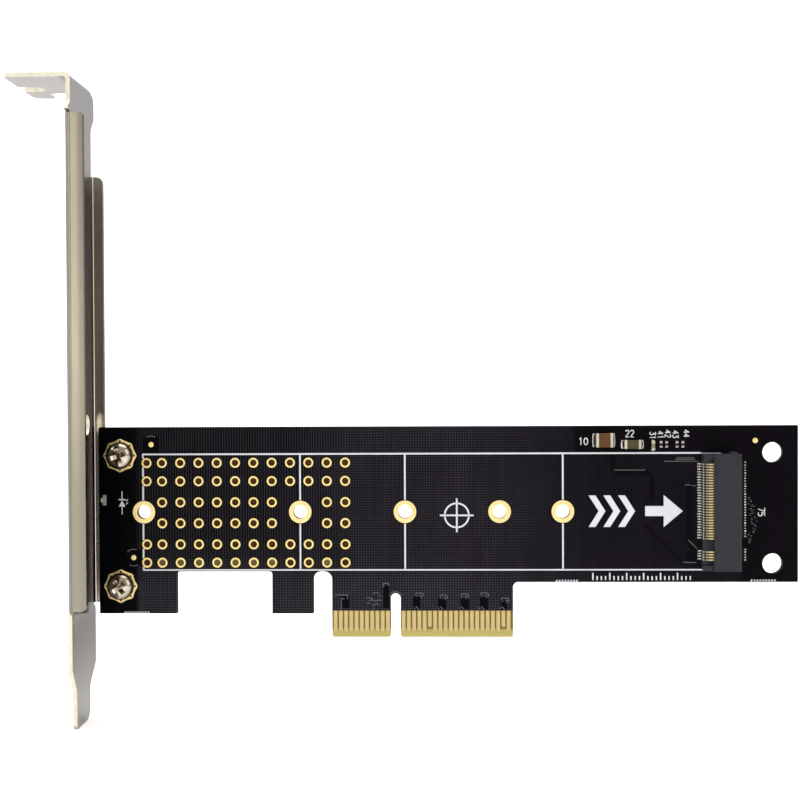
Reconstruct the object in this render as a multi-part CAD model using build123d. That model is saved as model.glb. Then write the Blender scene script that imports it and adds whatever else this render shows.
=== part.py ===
"""Adapter card that carries an M.2 drive in a four-lane edge-connector slot, with a full-height bracket.

Millimetres. X runs along the board, away from the bracket. Z runs up the bracket, with the edge
contacts at the bottom. The component side faces -Y. The origin is the centre of the key notch, at the
bottom of the contact edge and halfway through the board.
"""

import os

from build123d import *

# Board outline, measured from the key notch and the contact edge
board_thickness = 1.6
board_left = -56.8
board_right = 76.2
board_top = 40.25
board_bottom = 10.55
tab_bottom = 4.55
cutout_top = 12.6
wide_cutout_left = -41.9
wide_cutout_right = -23.6
wide_cutout_corner = 0.5
narrow_slot_width = 3.55
narrow_slot_corner = 1.5

# Edge connector
contact_pitch = 1.0
contacts_before_key = 11
contacts_after_key = 21
contact_width = 0.7
contact_top = 5.1
contact_bottom = 1.2
short_contact_loss = 0.8
contact_edge_margin_left = 0.65
contact_edge_margin_right = 0.85
contact_edge_corner = 0.5
contact_root_corner = 1.0
key_width = 1.9
key_depth = 8.4
key_contact_gap = 3.0
bevel_height = 1.15
bevel_depth = 0.38
copper = 0.05

# Drive standoff holes, by the drive length that each one holds
socket_seat = 61.84
drive_line = 24.0
drive_lengths = [110.0, 80.0, 60.0, 42.0, 30.0]
drive_width = 22.0
standoff_hole = 2.6
standoff_land = 4.3
land_sides = 12
land_pullback = 0.05

# Thermal vias: twelve columns and six rows, without the places where drive parts or holes lie
via_land = 1.9
via_first_column = -47.6
via_second_column = -44.65
via_pitch = 3.51
via_columns = 12
via_rows_below = [2.0, 6.05, 9.55]
via_grid_line = 23.87
via_land_sides = 8
bare_columns_mid_rows = [0, 8, 9]

# Free holes and alignment dots
rear_hole = 3.83
rear_hole_x = 71.43
rear_hole_spacing = 21.1
rear_hole_line = 24.6
fiducial = 1.0
fiducial_places = [(-46.7, 36.95), (-50.2, 15.3), (68.15, 37.4)]

# White ink outline of the drive
print_line = 0.32
ink = 0.03
ink_margin = 0.12
print_margin = 0.07
print_left = -48.28
print_top_end_inset = 3.94
print_bottom_end_overrun = 0.23
printed_lengths = [80.0, 60.0, 30.0]

# Socket for the drive
socket_length = 21.9
socket_height = 4.2
socket_lip_reach = 3.84
socket_cover_reach = 2.05
socket_back_wall = 3.01
socket_lip_height = 2.3
socket_cheek_height = 3.4
socket_chamfer = 0.3
mouth_width = 20.0
mouth_ceiling = 3.35
mouth_stop_gap = 0.06
socket_pitch = 0.5
socket_groove = 0.3
socket_blade = 0.22
socket_strip = 0.14
socket_key_centre = 6.125
socket_key_rib = 1.0
lower_row_start = 9.0
lower_contact_counts = [29, 4]
upper_row_start = 9.25
upper_contact_counts = [29, 5]
row_gap_count = 4
tail_reach_front = 0.75
tail_reach_rear = 1.55
front_bar = 0.25
tail_passage = 0.4
groove_floor_inset = 0.4
rear_comb_depth = 0.65
roof = 0.45
arm_foot_gap = 0.25
arm_root_run = 0.1
arm_root_sink = 0.3
arm_tip_gap = 0.1
arm_bump = 0.35
arm_clearance = 0.3
hold_down_width = 1.2
hold_down_foot = 0.35
hold_down_sheet = 0.2

# Chips above the drive: centre along the board and above the drive's printed edge, size along X and
# Z, height off the board and width of the end caps
big_capacitor = {"centre": (39.6, 2.48), "size": (3.2, 2.6), "height": 1.9, "cap": 0.5}
middle_capacitor = {"centre": (45.0, 1.66), "size": (3.2, 1.65), "height": 1.2, "cap": 0.5}
small_capacitor = {"centre": (48.9, 1.43), "size": (0.6, 1.6), "height": 0.8, "cap": 0.35}
resistor_lines = [50.4, 51.45, 53.4, 54.5]
resistor_rise = 1.61
resistor_size = (0.5, 1.0)
resistor_height = 0.35
resistor_cap = 0.22
cap_proud = 0.02
solder_reach = 0.55
solder_rise = 0.6

# Side-view light at the bracket's end of the board
led_centre = (-55.65, 26.33)
led_length = 1.6
led_depth = 0.6
led_height = 0.6
led_lens_reach = 0.35
led_lens_length = 1.0
led_lens_corner = 0.25
led_terminal = 0.2

# Bracket sheet
sheet = 0.86
bend_inner = 0.35
bracket_height = 120.02
bracket_top = 105.21
channel_width = 18.42
plate_gap = 1.33
near_lip_reach = 3.5
far_lip_reach = 3.0
near_lip_bottom = 7.3
near_lip_top = 97.7
far_lip_top = 88.3
lip_corner = 1.3
flange_reach = 11.43
flange_width = 21.59
flange_near = -15.4
flange_far = 0.9
flange_corner = 1.3
top_bulge_depth = 4.6
top_bulge_taper = 2.2
top_bulge_corner = 1.6
shoulder_far = -5.0
shoulder_near = -3.4
shoulder_corner = 0.8
lip_end_relief = 0.5
lip_top_step = 1.3
ear_length = 4.3
ear_corner = 2.0
screw_slot_width = 4.42
screw_slot_depth = 4.6
screw_slot_line = -3.3
tongue_width = 10.19
tongue_near = -13.45
tongue_root_far = -8.6
tongue_root_near = -7.7
tongue_corner_far = 2.5
tongue_corner_near = 1.2
light_hole = 3.8
light_hole_place = (-4.15, 40.85)

# Screws that hold the bracket
screw_inset = 4.08
screw_heights = [34.84, 9.8]
screw_thread = 3.0
screw_clearance_hole = 3.2
thread_clearance = 0.05
screw_tip = 1.2
screw_turns = [18, 38]
head_diameter = 5.2
head_height = 2.0
head_edge_height = 1.2
head_crown = 3.7
recess_span = 3.0
recess_wing = 0.75
recess_depth = 1.2
recess_floor = 1.0
screw_land = 5.9
screw_land_via_radius = 2.65
screw_land_via_pad = 1.1
screw_land_vias = 8
tab_width = 6.6
tab_reach = 3.3
tab_corner = 1.5
tab_root_corner = 0.8
collar = 4.4
collar_height = 0.7

# Derived places
front = -board_thickness / 2
back = board_thickness / 2
first_contact = -(key_contact_gap / 2 + (contacts_before_key - 1) * contact_pitch)
last_contact = key_contact_gap / 2 + (contacts_after_key - 1) * contact_pitch
contact_edge_left = first_contact - contact_edge_margin_left
contact_edge_right = last_contact + contact_edge_margin_right
standoff_places = [(socket_seat - length, drive_line) for length in drive_lengths]
screw_x = board_left + screw_inset
screw_places = [(screw_x, height) for height in screw_heights]
drive_low = drive_line - drive_width / 2 - print_margin
drive_high = drive_line + drive_width / 2 + print_margin
socket_low = drive_line - socket_length / 2
socket_high = drive_line + socket_length / 2
lip_front = socket_seat - socket_lip_reach
cover_front = socket_seat - socket_cover_reach
socket_rear = socket_seat + socket_back_wall
lip_groove_end = socket_seat - groove_floor_inset
cover_cavity_front = cover_front + 2 * socket_chamfer
plate_inner = board_left - plate_gap
plate_outer = plate_inner - sheet
bend_outer = bend_inner + sheet
channel_far = back + sheet
channel_near = channel_far - channel_width
near_bend_line = channel_near + bend_outer
far_bend_line = channel_far - bend_outer
lip_bend_line = plate_inner + bend_inner
near_lip_edge = plate_outer + near_lip_reach
far_lip_edge = plate_outer + far_lip_reach
plate_top = bracket_top - bend_outer
flange_bend_line = plate_outer - bend_inner
flange_end = plate_outer - flange_reach
tongue_tip = bracket_top - bracket_height
far_lip_bottom = screw_heights[1] - tab_width / 2


def slab(sketch, y_front, y_back):
    """Solid between two depths, from a sketch drawn in X and Z."""
    return extrude(Plane.XZ.offset(-y_back) * sketch, amount=y_back - y_front, dir=(0, -1, 0))


def along_z(sketch, z_low, z_high):
    """Solid between two heights, from a sketch drawn in X and in height above the component side."""
    plane = Plane(origin=(0, front, z_high), x_dir=(1, 0, 0), z_dir=(0, 0, -1))
    return extrude(plane * sketch, amount=z_high - z_low, dir=(0, 0, -1))


def along_x(sketch, x_low, x_high):
    """Solid between two places along the board, from a sketch drawn in Y and Z."""
    return extrude(Plane.YZ.offset(x_low) * sketch, amount=x_high - x_low, dir=(1, 0, 0))


def rounded(*corners):
    """Face through corners that are given as (first axis, second axis, corner radius)."""
    path = FilletPolyline(*[(a, b) for a, b, _ in corners], radius=[r for _, _, r in corners], close=True)
    return make_face(path.edges())


def block(x_low, x_high, z_low, z_high):
    """Rectangle between corners."""
    centre = Pos((x_low + x_high) / 2, (z_low + z_high) / 2)
    return centre * Rectangle(x_high - x_low, z_high - z_low)


def discs(places, diameter):
    """Circles of one size at several places."""
    return Sketch() + [Pos(*place) * Circle(diameter / 2) for place in places]


def save(name, *shapes):
    """Write one node, whose solids stay apart."""
    solids = [solid for shape in shapes for solid in shape.solids()]
    node = solids[0] if len(solids) == 1 else Compound(children=solids)
    node.label = name
    export_step(node, f"parts/{name}.step")


def via_places():
    """Centres of the thermal vias."""
    rows = [via_grid_line + side * below for below in via_rows_below for side in (1, -1)]
    columns = [via_first_column] + [via_second_column + i * via_pitch for i in range(via_columns - 1)]
    middle = [via_grid_line + via_rows_below[0], via_grid_line - via_rows_below[0]]
    return [
        (x, z)
        for z in rows
        for i, x in enumerate(columns)
        if not (z in middle and i in bare_columns_mid_rows)
    ]


# Circuit board


def circuit_board():
    """Milled board with its key notch, bevelled contact edge and holes."""
    key_half = key_width / 2
    key_round_centre = key_depth - key_half
    slot_left = contact_edge_left - narrow_slot_width
    outline = rounded(
        (board_left, board_top, 0),
        (board_right, board_top, 0),
        (board_right, board_bottom, 0),
        (contact_edge_right, board_bottom, contact_root_corner),
        (contact_edge_right, 0, contact_edge_corner),
        (key_half, 0, contact_edge_corner),
        (key_half, key_round_centre, 0),
        (-key_half, key_round_centre, 0),
        (-key_half, 0, contact_edge_corner),
        (contact_edge_left, 0, contact_edge_corner),
        (contact_edge_left, cutout_top, narrow_slot_corner),
        (slot_left, cutout_top, narrow_slot_corner),
        (slot_left, tab_bottom, 0),
        (wide_cutout_right, tab_bottom, 0),
        (wide_cutout_right, cutout_top, wide_cutout_corner),
        (wide_cutout_left, cutout_top, wide_cutout_corner),
        (wide_cutout_left, tab_bottom, 0),
        (board_left, tab_bottom, 0),
    )
    rear_places = [(rear_hole_x, rear_hole_line + side * rear_hole_spacing / 2) for side in (1, -1)]
    holes = (
        Pos(0, key_round_centre) * Circle(key_half)
        + discs(standoff_places, standoff_hole)
        + discs(rear_places, rear_hole)
        + discs(screw_places, screw_clearance_hole)
    )
    board = slab(outline - holes, front, back)
    wedge = Polygon(
        (back, bevel_height),
        (back + bevel_depth, bevel_height),
        (back + bevel_depth, -bevel_height),
        (back - 2 * bevel_depth, -bevel_height),
        align=None,
    )
    bevel = along_x(wedge, contact_edge_left, contact_edge_right)
    return board - bevel - mirror(bevel, about=Plane.XZ)


def contact_lines():
    """Centre of each edge contact along the board."""
    before = [first_contact + i * contact_pitch for i in range(contacts_before_key)]
    after = [key_contact_gap / 2 + i * contact_pitch for i in range(contacts_after_key)]
    return before + after


def edge_contacts(y_front, y_back, short):
    """Gold contacts of one side; the numbered ones in short end early, so that they touch last."""
    fingers = []
    for i, x in enumerate(contact_lines()):
        bottom = contact_bottom + (short_contact_loss if i in short else 0)
        finger = block(x - contact_width / 2, x + contact_width / 2, bottom, contact_top)
        fingers.append(slab(finger, y_front, y_back))
    return fingers


def standoff_lands():
    """Plated land round each standoff hole, on both sides of the board."""
    hole = RegularPolygon(standoff_hole / 2 + land_pullback, land_sides, major_radius=False)
    ring = RegularPolygon(standoff_land / 2, land_sides) - hole
    pair = [slab(ring, front - copper, front), slab(ring, back, back + copper)]
    return [Pos(x, 0, z) * land for x, z in standoff_places for land in pair]


def thermal_via_lands():
    """Land over each plugged thermal via; few-sided, because there are so many."""
    land = slab(RegularPolygon(via_land / 2, via_land_sides), front - copper, front)
    return [Pos(x, 0, z) * land for x, z in via_places()]


def screw_lands():
    """Land under each screw head, with a lobe at each of its small vias."""
    lobes = PolarLocations(screw_land_via_radius, screw_land_vias)
    lobe = RegularPolygon(screw_land_via_pad / 2, via_land_sides)
    outline = RegularPolygon(screw_land / 2, land_sides) + [place * lobe for place in lobes]
    land = slab(outline - Circle(screw_clearance_hole / 2), front - copper, front)
    return [Pos(x, 0, z) * land for x, z in screw_places]


def fiducial_pads():
    """Bare copper dots that the assembly machine lines up on."""
    pad = slab(RegularPolygon(fiducial / 2, land_sides), front - copper, front)
    return [Pos(x, 0, z) * pad for x, z in fiducial_places]


def drive_outline_print():
    """White ink frame of the drive, with a cross line at each shorter drive length."""
    half = print_line / 2
    top_end = socket_seat - print_top_end_inset
    bottom_end = socket_seat + print_bottom_end_overrun
    lines = block(print_left - half, top_end, drive_high - half, drive_high + half)
    lines += block(print_left - half, bottom_end, drive_low - half, drive_low + half)
    lines += block(print_left - half, print_left + half, drive_low, drive_high)
    for length in printed_lengths:
        x = socket_seat - length
        lines += block(x - half, x + half, drive_low, drive_high)
    lines -= block(lip_front, socket_rear, socket_low, socket_high)
    lands = [(place, standoff_land) for place in standoff_places]
    lands += [(place, via_land) for place in via_places()]
    for (x, z), land in lands:
        lines -= Pos(x, z) * Rectangle(land + 2 * ink_margin, land + 2 * ink_margin)
    return slab(lines, front - ink, front)


# Drive socket


def row_places(start, counts):
    """Heights of the contacts in one row, with the key gap between its two groups."""
    first, second = counts
    top = drive_line + start
    upper_group = [top - i * socket_pitch for i in range(first)]
    lower_group = [top - (first + row_gap_count + i) * socket_pitch for i in range(second)]
    return upper_group + lower_group


def socket_housing():
    """Moulded socket: lip, cover, cheeks and key rib, with a comb of grooves for each contact row."""
    chamfer_start = socket_height - socket_chamfer
    profile = Polygon(
        (lip_front, 0),
        (lip_front, socket_lip_height - 2 * socket_chamfer),
        (lip_front + 2 * socket_chamfer, socket_lip_height),
        (cover_front, socket_lip_height),
        (cover_front, chamfer_start),
        (cover_front + socket_chamfer, socket_height),
        (socket_rear - socket_chamfer, socket_height),
        (socket_rear, chamfer_start),
        (socket_rear, 0),
        align=None,
    )
    cheek = Polygon(
        (lip_front, 0),
        (lip_front, socket_cheek_height - socket_chamfer),
        (lip_front + socket_chamfer, socket_cheek_height),
        (cover_front + socket_chamfer, socket_cheek_height),
        (cover_front + socket_chamfer, 0),
        align=None,
    )
    mouth = block(lip_front, socket_seat + mouth_stop_gap, socket_lip_height, mouth_ceiling)
    mouth_low = drive_line - mouth_width / 2
    mouth_high = drive_line + mouth_width / 2
    key_line = drive_line - socket_key_centre
    housing = along_z(profile, socket_low, socket_high)
    housing -= along_z(mouth, mouth_low, key_line - socket_key_rib / 2)
    housing -= along_z(mouth, key_line + socket_key_rib / 2, mouth_high)
    housing += along_z(cheek, socket_low, mouth_low)
    housing += along_z(cheek, mouth_high, socket_high)
    lower_groove = Polygon(
        (lip_front, 0),
        (lip_groove_end, 0),
        (lip_groove_end, socket_lip_height),
        (lip_front + front_bar, socket_lip_height),
        (lip_front + front_bar, tail_passage),
        (lip_front, tail_passage),
        align=None,
    )
    upper_groove = Polygon(
        (socket_rear, 0),
        (socket_rear, socket_height - roof),
        (cover_cavity_front, socket_height - roof),
        (cover_cavity_front, mouth_ceiling),
        (socket_rear - rear_comb_depth, mouth_ceiling),
        (socket_rear - rear_comb_depth, 0),
        align=None,
    )
    grooves = []
    for z in row_places(lower_row_start, lower_contact_counts):
        grooves.append(along_z(lower_groove, z - socket_groove / 2, z + socket_groove / 2))
    for z in row_places(upper_row_start, upper_contact_counts):
        grooves.append(along_z(upper_groove, z - socket_groove / 2, z + socket_groove / 2))
    return housing - grooves


def bent_strip(points):
    """Section of a contact: a strip of even thickness along a bent line."""
    line = Polyline(*points)
    strip = line.offset_2d(socket_strip, kind=Kind.INTERSECTION, side=Side.LEFT, closed=True)
    return make_face(strip.edges())


def contact_row(section, start, counts):
    """One row of equal contacts."""
    blade = along_z(section, -socket_blade / 2, socket_blade / 2)
    return [Pos(0, 0, z) * blade for z in row_places(start, counts)]


def socket_contacts_lower():
    """Front row: flat tail on the board, then a spring arm that shows in its groove and runs in."""
    arm_foot = lip_front + front_bar + arm_foot_gap
    arm_tip = lip_groove_end - arm_tip_gap
    section = bent_strip(
        [
            (lip_front - tail_reach_front, 0),
            (arm_foot, 0),
            (arm_foot + arm_root_run, socket_lip_height - arm_root_sink),
            (arm_tip, socket_lip_height),
        ]
    )
    return contact_row(section, lower_row_start, lower_contact_counts)


def socket_contacts_upper():
    """Rear row: tail behind the socket, up the rear comb and forward over the drive."""
    rise = socket_rear - rear_comb_depth / 2
    arm_height = socket_height - roof - arm_clearance
    section = bent_strip(
        [
            (cover_cavity_front + arm_tip_gap, arm_height - arm_bump),
            (socket_seat, arm_height),
            (rise, arm_height),
            (rise, 0),
            (socket_rear + tail_reach_rear, 0),
        ]
    )
    return contact_row(section, upper_row_start, upper_contact_counts)


def socket_hold_downs():
    """Bent tab at each end of the socket, soldered to the board."""
    tab_low = socket_rear - socket_chamfer - hold_down_width
    tabs = []
    for end, side in ((socket_low, -1), (socket_high, 1)):
        foot_tip = end + side * hold_down_foot
        leg_face = end + side * hold_down_sheet
        foot = block(tab_low, tab_low + hold_down_width, min(end, foot_tip), max(end, foot_tip))
        leg = block(tab_low, tab_low + hold_down_width, min(end, leg_face), max(end, leg_face))
        tab = slab(foot, front - hold_down_sheet, front)
        tabs.append(tab + slab(leg, front - socket_height / 2, front - hold_down_sheet))
    return tabs


# Chips


def chip(centre, size, height, cap):
    """Body and two end caps of a chip whose longer side runs between its caps."""
    (x, rise), (width, length) = centre, size
    z = drive_high + rise
    half_w, half_l = width / 2, length / 2
    if width > length:
        body = block(x - half_w + cap, x + half_w - cap, z - half_l, z + half_l)
        ends = [
            block(x - half_w, x - half_w + cap, z - half_l - cap_proud, z + half_l + cap_proud),
            block(x + half_w - cap, x + half_w, z - half_l - cap_proud, z + half_l + cap_proud),
        ]
    else:
        body = block(x - half_w, x + half_w, z - half_l + cap, z + half_l - cap)
        ends = [
            block(x - half_w - cap_proud, x + half_w + cap_proud, z - half_l, z - half_l + cap),
            block(x - half_w - cap_proud, x + half_w + cap_proud, z + half_l - cap, z + half_l),
        ]
    caps = [slab(end, front - height - cap_proud, front) for end in ends]
    return slab(body, front - height, front), caps


def resistors():
    """The row of small upright resistors."""
    return [
        chip((x, resistor_rise), resistor_size, resistor_height, resistor_cap)
        for x in resistor_lines
    ]


def solder_fillets():
    """Wedge of solder at both ends of each large chip, from the board up its end cap."""
    fillets = []
    for part in (big_capacitor, middle_capacitor):
        (x, above_drive), (width, length) = part["centre"], part["size"]
        z = drive_high + above_drive
        rise = part["height"] * solder_rise
        for side in (1, -1):
            end = x + side * width / 2
            wedge = Polygon((end, 0), (end + side * solder_reach, 0), (end, rise), align=None)
            fillets.append(along_z(wedge, z - length / 2, z + length / 2))
    return fillets


def indicator_led():
    """Side-view light that faces the bracket: body, lens and two terminals."""
    x, z = led_centre
    body_left = x - led_depth / 2
    body_right = x + led_depth / 2
    half = led_length / 2
    lens_half = led_lens_length / 2
    lens_face = rounded(
        (body_left, z - lens_half, 0),
        (body_left, z + lens_half, 0),
        (body_left - led_lens_reach, z + lens_half - led_lens_corner, 0),
        (body_left - led_lens_reach, z - lens_half + led_lens_corner, 0),
    )
    body = slab(block(body_left, body_right, z - half, z + half), front - led_height, front)
    lens = slab(lens_face, front - led_height, front)
    terminals = []
    for side in (1, -1):
        near, far = sorted((z + side * half, z + side * (half + led_terminal)))
        terminals.append(slab(block(body_left, body_right, near, far), front - led_height / 2, front))
    return body, lens, terminals


# Bracket


def quarter_bend():
    """Section of a right-angle bend in the sheet, centred on the origin, in the first quarter."""
    ring = Circle(bend_outer) - Circle(bend_inner)
    return ring & Pos(bend_outer / 2, bend_outer / 2) * Rectangle(bend_outer, bend_outer)


def plate():
    """Flat plate of the bracket, from the bend of its flange to the tip of its tongue."""
    bulge_far = flange_near + channel_width
    bulge_low = plate_top - top_bulge_depth
    tongue_far = tongue_near + tongue_width
    outline = rounded(
        (flange_near, plate_top, 0),
        (bulge_far, plate_top, top_bulge_corner),
        (bulge_far, bulge_low, lip_corner),
        (far_bend_line, bulge_low - top_bulge_taper, lip_corner),
        (far_bend_line, far_lip_bottom - lip_end_relief, 0),
        (channel_far, far_lip_bottom - lip_end_relief, shoulder_corner),
        (channel_far, shoulder_far, shoulder_corner),
        (tongue_far, tongue_root_far, lip_corner),
        (tongue_far, tongue_tip, tongue_corner_far),
        (tongue_near, tongue_tip, tongue_corner_near),
        (tongue_near, tongue_root_near, shoulder_corner),
        (channel_near, shoulder_near, shoulder_corner),
        (channel_near, near_lip_bottom - lip_end_relief, 0),
        (near_bend_line, near_lip_bottom - lip_end_relief, 0),
        (near_bend_line, near_lip_top + lip_end_relief, 0),
        (channel_near, near_lip_top + lip_end_relief, 0),
        (channel_near, near_lip_top + lip_top_step, shoulder_corner / 2),
        (flange_near, near_lip_top + top_bulge_taper, shoulder_corner / 2),
    )
    outline -= Pos(*light_hole_place) * Circle(light_hole / 2)
    return along_x(outline, plate_outer, plate_inner)


def near_lip():
    """Stiffening lip along the component side, bent towards the card."""
    bend = Pos(lip_bend_line, near_bend_line, near_lip_bottom) * extrude(
        Rot(0, 0, 180) * quarter_bend(), amount=near_lip_top - near_lip_bottom
    )
    flat = rounded(
        (lip_bend_line, near_lip_bottom, 0),
        (near_lip_edge, near_lip_bottom, lip_corner),
        (near_lip_edge, near_lip_top, lip_corner / 2),
        (lip_bend_line, near_lip_top, 0),
    )
    return bend + slab(flat, channel_near, channel_near + sheet)


def far_lip():
    """Lip behind the board, with the two tabs that the screws hold."""
    bend = Pos(lip_bend_line, far_bend_line, far_lip_bottom) * extrude(
        Rot(0, 0, 90) * quarter_bend(), amount=far_lip_top - far_lip_bottom
    )
    tab_end = screw_x + tab_reach
    half = tab_width / 2
    upper, lower = screw_heights
    flat = rounded(
        (lip_bend_line, far_lip_top, 0),
        (far_lip_edge, far_lip_top, lip_corner),
        (far_lip_edge, upper + half, tab_root_corner),
        (tab_end, upper + half, tab_corner),
        (tab_end, upper - half, tab_corner),
        (far_lip_edge, upper - half, tab_root_corner),
        (far_lip_edge, lower + half, tab_root_corner),
        (tab_end, lower + half, tab_corner),
        (tab_end, far_lip_bottom, tab_corner),
        (lip_bend_line, far_lip_bottom, 0),
    )
    tapped = discs(screw_places, screw_thread + 2 * thread_clearance)
    collars = slab(discs(screw_places, collar) - tapped, channel_far, channel_far + collar_height)
    return bend + slab(flat - tapped, back, channel_far) + collars


def flange():
    """Top flange with the open slot for the slot screw and the ear beyond it."""
    bend = slab(Pos(flange_bend_line, plate_top) * quarter_bend(), flange_near, flange_far)
    slot_half = screw_slot_width / 2
    slot_centre = flange_end + screw_slot_depth - slot_half
    ear_far = flange_near + flange_width
    ear_root = flange_end + ear_length
    flat = rounded(
        (flange_bend_line, flange_near, 0),
        (flange_end, flange_near, flange_corner),
        (flange_end, screw_slot_line - slot_half, 0),
        (slot_centre, screw_slot_line - slot_half, 0),
        (slot_centre, screw_slot_line + slot_half, 0),
        (flange_end, screw_slot_line + slot_half, 0),
        (flange_end, ear_far, ear_corner),
        (ear_root, ear_far, shoulder_corner),
        (ear_root, flange_far, 0),
        (flange_bend_line, flange_far, 0),
    )
    flat -= Pos(slot_centre, screw_slot_line) * Circle(slot_half)
    return bend + extrude(Pos(0, 0, bracket_top - sheet) * flat, amount=sheet, dir=(0, 0, 1))


def bracket():
    """Whole folded bracket, one piece of sheet."""
    return plate() + near_lip() + far_lip() + flange()


def bracket_screw():
    """Pan-head screw with a cross recess, its head's seat at the origin and its tip along +Y."""
    shank_end = board_thickness + copper + sheet + collar_height + screw_tip
    shank = screw_thread / 2
    rim = head_diameter / 2
    profile = Polygon(
        (0, -shank_end),
        (shank, -shank_end),
        (shank, 0),
        (rim, 0),
        (rim, head_height - head_edge_height),
        (head_crown / 2, head_height),
        (0, head_height),
        align=None,
    )
    screw = revolve(Plane.XZ * profile, axis=Axis.Z)
    bar_profile = Polygon(
        (-recess_span / 2, head_height),
        (recess_span / 2, head_height),
        (recess_floor / 2, head_height - recess_depth),
        (-recess_floor / 2, head_height - recess_depth),
        align=None,
    )
    bar = extrude(Plane.XZ * bar_profile, amount=recess_wing / 2, both=True)
    return Rot(90, 0, 0) * (screw - bar - Rot(0, 0, 90) * bar)


def bracket_screws():
    """The two equal screws, turned as they were driven."""
    screw = bracket_screw()
    return [
        Pos(x, front - copper, z) * Rot(0, turn, 0) * screw
        for (x, z), turn in zip(screw_places, screw_turns)
    ]


os.makedirs("parts", exist_ok=True)
save("circuit_board", circuit_board())
save("edge_contacts_front", *edge_contacts(front - copper, front, short=(16, 30)))
save("edge_contacts_back", *edge_contacts(back, back + copper, short=(0,)))
save("standoff_lands", *standoff_lands())
save("thermal_via_lands", *thermal_via_lands())
save("screw_lands", *screw_lands())
save("fiducial_pads", *fiducial_pads())
save("drive_outline_print", drive_outline_print())
save("m2_socket_housing", socket_housing())
save("m2_socket_contacts_lower", *socket_contacts_lower())
save("m2_socket_contacts_upper", *socket_contacts_upper())
save("m2_socket_hold_downs", *socket_hold_downs())

big_body, big_ends = chip(**big_capacitor)
middle_body, middle_ends = chip(**middle_capacitor)
small_body, small_ends = chip(**small_capacitor)
save("bulk_capacitor_body", big_body)
save("filter_capacitor_body", middle_body)
save("small_capacitor_body", small_body)
save("capacitor_terminals", *big_ends, *middle_ends, *small_ends)
save("chip_resistor_bodies", *[body for body, _ in resistors()])
save("chip_resistor_terminals", *[end for _, ends in resistors() for end in ends])
save("solder_fillets", *solder_fillets())

led_body, led_lens, led_terminals = indicator_led()
save("indicator_led_body", led_body)
save("indicator_led_lens", led_lens)
save("indicator_led_terminals", *led_terminals)

save("bracket", bracket())
save("bracket_screws", *bracket_screws())
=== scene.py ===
"""Looks of the adapter card: finishes, printed marks, plated copper, screws, chips and the studio round it.

Lengths are millimetres until a mesh is finished, which turns them into metres. X runs along the board,
Z up the bracket, and the component side faces -Y.
"""

import math
import random

import bmesh
import bpy
from mathutils import Matrix, Vector


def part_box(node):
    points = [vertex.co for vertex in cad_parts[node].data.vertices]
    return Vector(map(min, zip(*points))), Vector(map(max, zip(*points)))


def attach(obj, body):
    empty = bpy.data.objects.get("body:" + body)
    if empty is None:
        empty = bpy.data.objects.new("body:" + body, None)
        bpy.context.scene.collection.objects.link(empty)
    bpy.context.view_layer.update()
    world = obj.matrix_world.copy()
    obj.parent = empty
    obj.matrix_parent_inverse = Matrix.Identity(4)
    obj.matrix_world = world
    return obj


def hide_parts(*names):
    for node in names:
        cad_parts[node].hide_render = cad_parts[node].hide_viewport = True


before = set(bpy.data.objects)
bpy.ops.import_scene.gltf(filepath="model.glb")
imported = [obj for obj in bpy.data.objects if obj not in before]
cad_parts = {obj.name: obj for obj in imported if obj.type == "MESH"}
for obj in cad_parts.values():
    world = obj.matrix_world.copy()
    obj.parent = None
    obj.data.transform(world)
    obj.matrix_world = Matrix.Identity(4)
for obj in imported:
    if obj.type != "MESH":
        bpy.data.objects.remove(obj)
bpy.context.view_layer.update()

MM = 0.001
BODY = "root"


def box_mm(node):
    """Lowest and highest corner of a CAD node, in millimetres."""
    low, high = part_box(node)
    return low / MM, high / MM


# Places read from the frame
board_low, board_high = box_mm("circuit_board")
FRONT = board_low.y
BACK = board_high.y
contacts_low, contacts_high = box_mm("edge_contacts_front")
COPPER = FRONT - contacts_low.y
print_low, print_high = box_mm("drive_outline_print")
INK = FRONT - print_low.y
socket_low, socket_high = box_mm("m2_socket_housing")
bracket_low, bracket_high = box_mm("bracket")
bracket_lip_middle = -57.2
bracket_lip_end = -55.49
bracket_plate_inner = -58.13
bracket_far_lip = 0.8
screws_low, screws_high = box_mm("bracket_screws")

# Drive holes, counted back from the drive's seat in the socket
SOCKET_SEAT = 61.84
SOCKET_LIP_HEIGHT = 2.3
SOCKET_LIP_SLOPE = 0.6
DRIVE_LINE = 24.0
DRIVE_LENGTHS = [110.0, 80.0, 60.0, 42.0, 30.0]
PRINTED_LENGTHS = [80.0, 60.0, 30.0]
STANDOFF_HOLE = 2.6
STANDOFF_LAND = 4.3
STANDOFFS = [(SOCKET_SEAT - length, DRIVE_LINE) for length in DRIVE_LENGTHS]

# Thermal vias
VIA_LAND = 1.9
VIA_HOLE = 1.34
VIA_COLUMNS = [-47.6] + [-44.65 + 3.51 * i for i in range(11)]
VIA_ROWS_BELOW = [2.0, 6.05, 9.55]
VIA_LINE = 23.87
VIA_BARE_COLUMNS = [0, 8, 9]
VIA_DEPTH = 0.9
VIA_PLUG_DEPTH = 0.4

# Edge contacts
CONTACT_PITCH = 1.0
CONTACT_WIDTH = 0.7
CONTACT_TOP = 5.1
CONTACT_BOTTOM = 1.2
CONTACT_LOSS = 0.8
CONTACTS_LEFT = [-11.5 + i * CONTACT_PITCH for i in range(11)]
CONTACTS_RIGHT = [1.5 + i * CONTACT_PITCH for i in range(21)]
SHORT_FRONT = (16, 30)
SHORT_BACK = (0,)
EDGE_LEFT = -12.15
EDGE_RIGHT = 22.35
BEVEL_TOP = 1.15

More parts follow.
